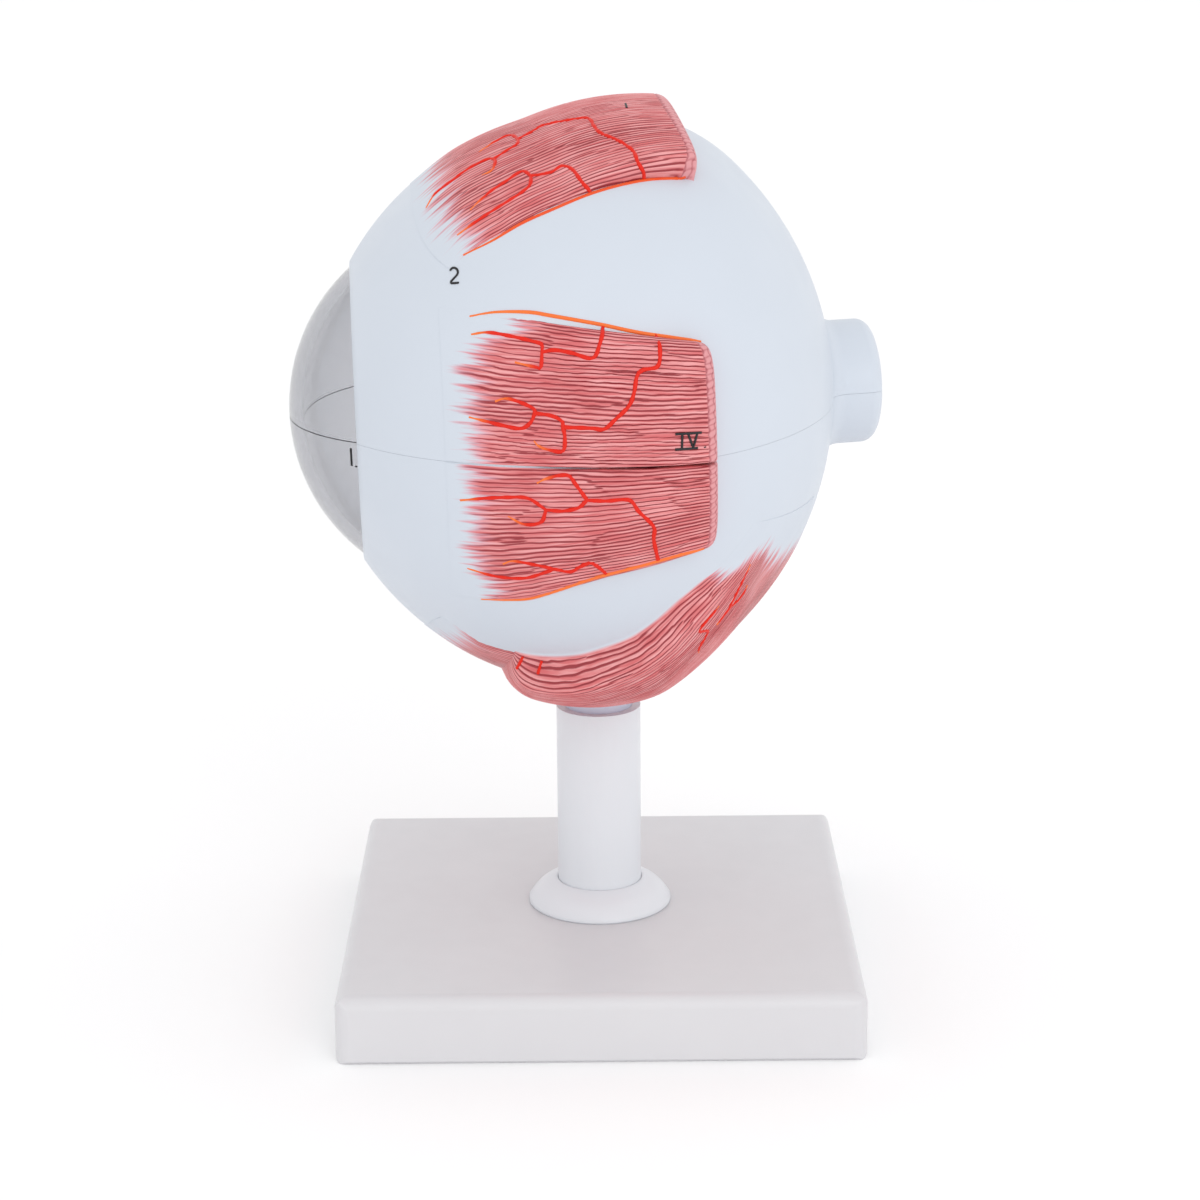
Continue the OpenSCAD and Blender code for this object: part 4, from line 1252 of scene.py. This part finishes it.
def line_piece(name, strokes, tree, body):
    """strokes: lists of (points in the eye's frame, brush widths, warmths)."""
    points, edges, brush, warmth = [], [], [], []
    for path, widths, warm in strokes:
        start = len(points)
        points += on_stand(path).tolist()
        edges += [(start + k, start + k + 1) for k in range(len(path) - 1)]
        brush += list(np.broadcast_to(widths, len(path)))
        warmth += list(np.broadcast_to(warm, len(path)))
    mesh = bpy.data.meshes.new(name)
    mesh.from_pydata(points, edges, [])
    for key, values in (("brush", brush), ("warmth", warmth)):
        mesh.attributes.new(key, "FLOAT", "POINT").data.foreach_set("value", values)
    tubes = grow(name, mesh, tree, Width=MM, Sides=LINE_SIDES)
    tubes.shade_smooth()
    return adopt(tubes, name, body)


VESSEL_TREE = line_tree("vessel_lines", VESSEL_ENAMEL)
INK_TREE = line_tree("inked_lines", PEN_INK)

# %% [markdown]
# A stroke that ends free is a thin orange tip, and a stroke that meets another is thick and
# red there, so each stroke says which of its ends are free. The brush wavers a little.

# %% Vessel strokes
THICK, THIN, SUNK = 0.46, 0.27, 0.16


def laid_path(plan, muscle, view, sign):
    path = np.array([laid(spot, muscle, view, sign) for spot in plan])
    return path - toward(path) * SUNK


def vessel(points, muscle, view="side", sign=-1, free="end", thick=THICK, orange=6.0):
    plan = smooth_path(points)
    run = np.linspace(0, 1, len(plan))
    length = len(plan) * PATH_STEP
    to_tip = {"end": 1 - run, "start": run, "both": np.minimum(run, 1 - run) * 2,
              "none": run * 0 + 1}[free] * length
    full = ramp(to_tip, 0, 6)
    waver = 1 + 0.12 * np.sin(run * length * 1.9 + points[0][0])
    return (laid_path(plan, muscle, view, sign), (THIN + (thick - THIN) * full) * waver,
            1 - ramp(to_tip, 0, orange))


def edge_line(points, muscle, sign=-1, warm=0.8):
    """The orange line along a muscle's side, thinner at both ends."""
    plan = smooth_path(points)
    run = np.linspace(0, 1, len(plan))
    path = laid_path(plan, muscle, "side", sign)
    widths = THICK * (0.6 + 0.4 * ramp(run, 0, 0.3) * ramp(1 - run, 0, 0.05))
    return path, widths, np.clip(warm + 0.2 * (1 - ramp(run, 0, 0.3)), 0, 1)


SIDE_VESSELS = {UPPER: (
    ("none", [(-1.9, 28.8), (-2.9, 25.9), (-4.6, 22.9), (-8.8, 23.9), (-12.5, 24.4), (-15, 23.9)]),
    ("end", [(-15, 23.9), (-14.9, 25.3), (-15.9, 25.8), (-20.4, 26.7), (-25.8, 27.4),
             (-29.5, 26.8)]),
    ("end", [(-15, 23.9), (-15.4, 20.9), (-16.6, 20.9), (-20.7, 21.7)]),
    ("none", [(9, 26.6), (9.5, 24.8), (8.9, 21.1), (5.7, 20.4), (4.4, 19.2), (3.6, 15.8),
              (2.4, 13.2), (-0.6, 10.4), (-2.9, 8.5), (-5.6, 8.7), (-11.4, 8.8)]),
    ("none", [(-11.4, 8.8), (-11.6, 10.1), (-14, 11.2), (-17.1, 11.5)]),
    ("end", [(-17.1, 11.5), (-17.4, 12.5), (-20.5, 13.8), (-23.1, 14.3), (-25.2, 13.6)]),
    ("end", [(-17.1, 11.5), (-18, 9.6), (-20.1, 8.2), (-24, 8.7), (-27.5, 9.4), (-30.8, 10)]),
    ("end", [(-11.4, 8.8), (-11.1, 6.6), (-11.6, 3.8), (-14.3, 3.9), (-16.5, 4.6),
             (-17.5, 5.7)])),
    LOWER: (
    ("none", [(7.9, -20.9), (7, -16.1), (7, -13.1), (3.9, -9.5), (1.8, -6.8), (-3, -7),
              (-6.9, -6.8)]),
    ("end", [(-6.9, -6.8), (-9.1, -3.5), (-10.9, -1.4), (-14.9, -2.2), (-17.2, -3.4)]),
    ("none", [(-6.9, -6.8), (-8.8, -8.6), (-12, -9.4), (-15.5, -9.3)]),
    ("end", [(-15.5, -9.3), (-19.2, -6.9), (-23.5, -6.9), (-28.6, -7.5), (-33.4, -8.4)]),
    ("end", [(-15.5, -9.3), (-16.6, -12.2), (-20.1, -12.9), (-23.5, -11.2)]),
    ("none", [(-3.1, -24.1), (-4.8, -22.4), (-6.5, -21.5), (-8.6, -22.5), (-10.7, -23.8),
               (-14, -23.3)]),
    ("end", [(-14, -23.3), (-17.6, -22.6), (-22.6, -21.9), (-24.8, -22.8)]),
    ("end", [(-14, -23.3), (-17.6, -25.1), (-20.8, -26.1), (-26.3, -26.1), (-32.4, -24.8)]))}
SIDE_EDGES = {
    UPPER: [(-29.6, 30.3), (-24.1, 31.4), (-17.4, 31.6), (-12.9, 31), (-7.6, 30.1), (-1.9, 29),
            (5.1, 27.3), (11.9, 25.9), (18.8, 24.3)],
    LOWER: [(-29.6, -32.7), (-24.1, -32.2), (-19.6, -31.5), (-14.9, -29.6), (-5.9, -25.4),
            (3.4, -22.5), (12.6, -20), (17.8, -19)]}


def side_vessels(prefix, sign, side):
    muscle = f"{prefix}_muscle_{NAME_OF[side]}"
    strokes = [vessel(points, muscle, sign=sign, free=free)
               for free, points in SIDE_VESSELS[side]]
    strokes.append(edge_line(SIDE_EDGES[side], muscle, sign=sign))
    line_piece(f"{prefix}_vessels_{NAME_OF[side]}", strokes, VESSEL_TREE, BODY_OF[side])


for side in (UPPER, LOWER):
    side_vessels("lateral", -1, side)
    side_vessels("medial", 1, side)

# %% Vessels of the upper and the lower muscles
UPPER_VESSELS = (
    ("none", [(9.6, -34.5, 55.9), (8.3, -34.6, 59.5), (7.6, -31.7, 61.5), (5.1, -28, 63.2),
              (1.3, -23.7, 64.6), (0.1, -19.9, 65.7), (-0.5, -16.1, 66.7), (-2.1, -14.5, 66.8),
              (-6.3, -13.2, 66.2), (-10.7, -11.6, 65), (-13.4, -12.8, 64), (-16.4, -14.1, 62.7)]),
    ("end", [(-16.4, -14.1, 62.7), (-17.8, -9.9, 63.1), (-20.2, -9.8, 62.3),
             (-25.1, -12.3, 59.9)]),
    ("none", [(-16.4, -14.1, 62.7), (-16.8, -16.7, 61.9), (-18.9, -17.9, 60.9),
              (-22.1, -19.5, 59.2)]),
    ("end", [(-22.1, -19.5, 59.2), (-23.4, -18.3, 59.1), (-27.1, -18.1, 57.5),
             (-31.2, -18.8, 54.9), (-35.3, -18.8, 52), (-37.5, -21.1, 49.3)]),
    ("end", [(-22.1, -19.5, 59.2), (-21.9, -21, 58.8), (-22.8, -23.7, 57.4), (-25, -23.7, 56.4)]))
PAIRED_VESSELS = (
    ("none", [(-2, -38.2, 53.7), (-4, -37.3, 56), (-5.8, -33.3, 58.3), (-7.9, -31.3, 58.8),
              (-10.3, -31.9, 57.6), (-14.6, -30.9, 56.8)]),
    ("end", [(-14.6, -30.9, 56.8), (-16.4, -28.4, 57.6), (-19.6, -29.5, 56), (-23.6, -30.6, 53.7),
             (-28.1, -32.3, 50.2)]),
    ("end", [(-14.6, -30.9, 56.8), (-15.3, -33.7, 55.1), (-18.6, -35.1, 53), (-23.5, -35.9, 50.3),
             (-28.2, -36, 47.5), (-31.2, -35.7, 45.4)]))
UPPER_EDGE = [(-30.2, -40.3, 41.8), (-24, -41.4, 44.8), (-17.4, -41, 48.3), (-10.2, -40.3, 51.1),
              (-2, -38.3, 53.7), (5.1, -36.3, 55.1), (9.8, -34.7, 55.5), (14.5, -33, 55.4),
              (18.8, -31.3, 55.2)]
SLANT_VESSELS = (
    ("none", [(-20.6, -39.3, -49.2), (-21.2, -38.7, -50.6), (-22, -37.9, -52.1)]),
    ("none", [(-16.5, -41.2, -49.7), (-17, -41.2, -51.2), (-17.5, -41, -52.8)]),
    ("start", [(29.9, -47.6, -28.1), (27.5, -48.1, -34), (25.3, -47.2, -39.4)]),
    ("both", [(30.1, -45.1, -34.5), (28.7, -45.2, -37.4), (25.3, -47.2, -39.4),
              (22.8, -47.3, -43)]),
    ("both", [(22.5, -51.3, -36.5), (18, -51.6, -41.7), (20.4, -48.7, -43.6), (18.8, -46.3, -47.9),
              (18.8, -44, -50.2)]))
UNDER_VESSELS = (
    ("none", [(8, 34), (6, 26), (1, 21), (-5, 19), (-11, 16)]),
    ("end", [(-11, 16), (-16, 18), (-22, 17), (-28, 18)]),
    ("end", [(-11, 16), (-14, 11), (-20, 9), (-27, 10)]))


def mirrored(points):
    return [(x, -y, z) for x, y, z in points]


upper = [vessel(points, "upper_muscle", free=free)
         for free, points in [*UPPER_VESSELS, *PAIRED_VESSELS,
                              *((free, mirrored(points)) for free, points in PAIRED_VESSELS)]]
upper += [edge_line(points, "upper_muscle", warm=0.45)
          for points in (UPPER_EDGE, mirrored(UPPER_EDGE))]
line_piece("upper_vessels", upper, VESSEL_TREE, "upper_eye")
slanted = [vessel(points, "slanted_muscle", free=free, thick=0.42, orange=3.0)
           for free, points in SLANT_VESSELS]
line_piece("slanted_vessels", slanted, VESSEL_TREE, "lower_eye")
under = [vessel(points, "under_muscle", "top", -1, free) for free, points in UNDER_VESSELS]
line_piece("under_vessels", under, VESSEL_TREE, "lower_eye")

# %% [markdown]
# The numbers that a teacher's key would list are plain pen strokes: 1 on the clear dome, 2 on
# the shell, and Roman numbers on the muscles.

# %% Inked numbers
INK_WIDTH = 0.27
DIGIT_TWO = [[(-0.9, 1.0), (-0.2, 1.7), (0.8, 1.5), (0.9, 0.4), (-0.9, -1.6), (1.1, -1.5)]]
ROMAN_ONE = [[(0, 1.6), (0, -1.6)]]
ROMAN_FOUR = [[(-2.8, 1.6), (2.8, 1.6)], [(-1.3, 1.6), (-1.5, -1.5)],
              [(-0.1, 1.6), (0.9, -1.5), (1.9, 1.6)], [(-2.9, -1.6), (1.9, -1.6)]]
DOT = [[(0, 0.1), (0.05, -0.12)]]
DOME_ONE = [(-56.5, -1.5 - 0.8 * k) for k in range(6)]
DOME_DOT = [(-55.5, -5.4), (-55.5, -5.65)]


def inked(strokes, at, muscle, view="side", sign=-1, scale=1.0):
    made = []
    for stroke in strokes:
        line = smooth_path(stroke, 0.3) if len(stroke) > 3 else np.array(
            [p for a, b in zip(stroke, stroke[1:]) for p in np.linspace(a, b, 6)[:-1]]
            + [stroke[-1]])
        path = np.array([laid(at + spot * scale, muscle, view, sign) for spot in line])
        made.append((path, INK_WIDTH, 0.0))
    return made


def on_dome(points):
    """Points (x, z) of the temple side, on the clear dome."""
    points = np.asarray(points, float)
    x, z = points.T
    y = -np.sqrt(CORNEA_R**2 - (x - DOME_X) ** 2 - z**2)
    return np.stack([x, y, z], -1)


line_piece("upper_numbers", [
    *inked(DIGIT_TWO, (-32.4, 37.8), None, scale=0.85),
    *inked(ROMAN_FOUR, (14.7, 5.4), "lateral_muscle_upper"),
    *inked(DOT, (18.1, 3.9), "lateral_muscle_upper"),
    *inked(ROMAN_ONE, (8, -11), "upper_muscle", "top", 1)],
    INK_TREE, "upper_eye")
line_piece("lower_numbers", [(on_dome(stroke), INK_WIDTH, 0.0) for stroke in (DOME_ONE, DOME_DOT)],
           INK_TREE, "lower_eye")

# %% [markdown]
# ## The stand
# The base plate, the tube, its plug and the peg are right as the CAD model has them, and get
# their finishes. The collar is a soft cone in the picture, so it is turned here as a curve.

# %% Collar and the finishes of the CAD pieces
def collar():
    t = np.linspace(0, 1, 16)
    bottom, top, low_r, high_r, bore = 16.0, 22.0, 17.1, 10.9, 10.06
    foot = [(bore + 0.2, bottom), (low_r - 0.3, bottom), (low_r, bottom + 0.3)]
    cone = [(low_r - (low_r - high_r) * (v - 0.09 * sin(pi * v)), bottom + 0.9
             + (top - bottom - 1.0) * (v + 0.12 * sin(pi * v))) for v in t]
    lip = [(high_r - 0.3, top), (bore + 0.2, top), (bore, top - 0.2), (bore, bottom + 0.2)]
    r, z = np.array(foot + cone + lip).T
    angles = np.linspace(0, 2 * pi, 129)[:-1]
    rows = np.stack([r * np.cos(angles)[:, None], r * np.sin(angles)[:, None],
                     np.broadcast_to(z, (128, len(z)))], -1)
    points, faces = loop_faces(rows, True)
    finish_piece("soft_collar", points, faces, STEM_PLASTIC, "base", "stand_plastic",
                 ["stem_collar"], crisp=radians(40), place=upright)


collar()
CAD_FINISHES = {"base_plate": STAND_PLASTIC, "stem_tube": STEM_PLASTIC,
                "stem_plug": STEM_PLASTIC, "eye_peg": PEG_PLASTIC, "locating_pins": PIN_STEEL,
                "nerve_core_upper": NERVE_PAINT, "nerve_core_lower": NERVE_PAINT}
for node_name, finish in CAD_FINISHES.items():
    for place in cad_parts[node_name].material_slots:
        place.material = finish
print("CAD pieces finished:", sorted(CAD_FINISHES))

# %% [markdown]
# ## Floor, light and camera
# The picture was taken against white in flat, soft light, a little stronger from in front
# and from the right. The floor is pale and plain, and ends far behind.

# %% Floor and lights
def plain_floor():
    mesh = bpy.data.meshes.new("floor")
    half, bend, rise = 3.0, 2.4, 2.6
    profile = [(-half, 0)] + [(bend + rise * sin(a), rise - rise * cos(a))
                              for a in np.radians(np.linspace(0, 80, 24))]
    points = [(x, y, z) for y, z in profile for x in (-2 * half, 2 * half)]
    faces = [(2 * k, 2 * k + 1, 2 * k + 3, 2 * k + 2) for k in range(len(profile) - 1)]
    mesh.from_pydata(points, [], faces)
    mesh.shade_smooth()
    finish, tree, shader = new_finish("pale_backdrop")
    place = add_node(tree, COORDINATES).outputs["Object"]
    cloud = add_node(tree, NOISE, Vector=place, Scale=2.5, Detail=2.0)
    colour = add_node(tree, MIX, COLOUR, Factor=cloud, A=hex_colour("#FCFCFD"),
                      B=hex_colour("#FFFFFF"))
    connect(tree, shader, Base_Color=colour, Roughness=0.9)
    mesh.materials.append(finish)
    new_object("floor", mesh)


def soft_light(name, place, aim, size, power):
    lamp = bpy.data.lights.new(name, "AREA")
    lamp.shape, lamp.size, lamp.energy = "DISK", size, power
    item = new_object(name, lamp)
    item.location = place
    item.rotation_euler = (Vector(aim) - Vector(place)).to_track_quat("-Z", "Y").to_euler()


plain_floor()
soft_light("front_softbox", (0.6, -1.5, 0.7), (0, 0, 0.12), 1.2, 4.8)
world = bpy.data.worlds.new("white_tent")
bpy.context.scene.world = world
world.use_nodes = True
sky = world.node_tree.nodes["Background"]
sky.inputs["Color"].default_value = (1, 1, 1, 1)
sky.inputs["Strength"].default_value = 1.02
bpy.context.scene.view_settings.view_transform = "Standard"

# %% [markdown]
# The camera was found from the base's corners and the tube in the picture: a long lens, 16
# degrees above the horizon, square to the base.

# %% Camera
FOCAL_PX, PICTURE_PX = 3037.27, 1200
TURN, LIFT, ROLL, DISTANCE = radians(-0.1125), radians(16.0606), radians(-0.4765), 716.295
AIM = Vector((0.598, 0, 91.288))
back = Vector((sin(TURN) * cos(LIFT), -cos(TURN) * cos(LIFT), sin(LIFT)))
right = (-back).cross(Vector((0, 0, 1))).normalized()
up = right.cross(-back)
rolled_right = cos(ROLL) * right + sin(ROLL) * up
rolled_up = cos(ROLL) * up - sin(ROLL) * right
lens_data = bpy.data.cameras.new("camera")
lens_data.sensor_width = 36.0
lens_data.lens = FOCAL_PX / PICTURE_PX * 36.0
lens_data.clip_start, lens_data.clip_end = 0.01, 50.0
camera = new_object("camera", lens_data)
turn = Matrix((rolled_right, rolled_up, back)).transposed()
camera.matrix_world = Matrix.Translation((AIM + back * DISTANCE) * MM) @ turn.to_4x4()
bpy.context.scene.camera = camera
print("camera:", [round(c, 4) for c in camera.matrix_world.translation], lens_data.lens)
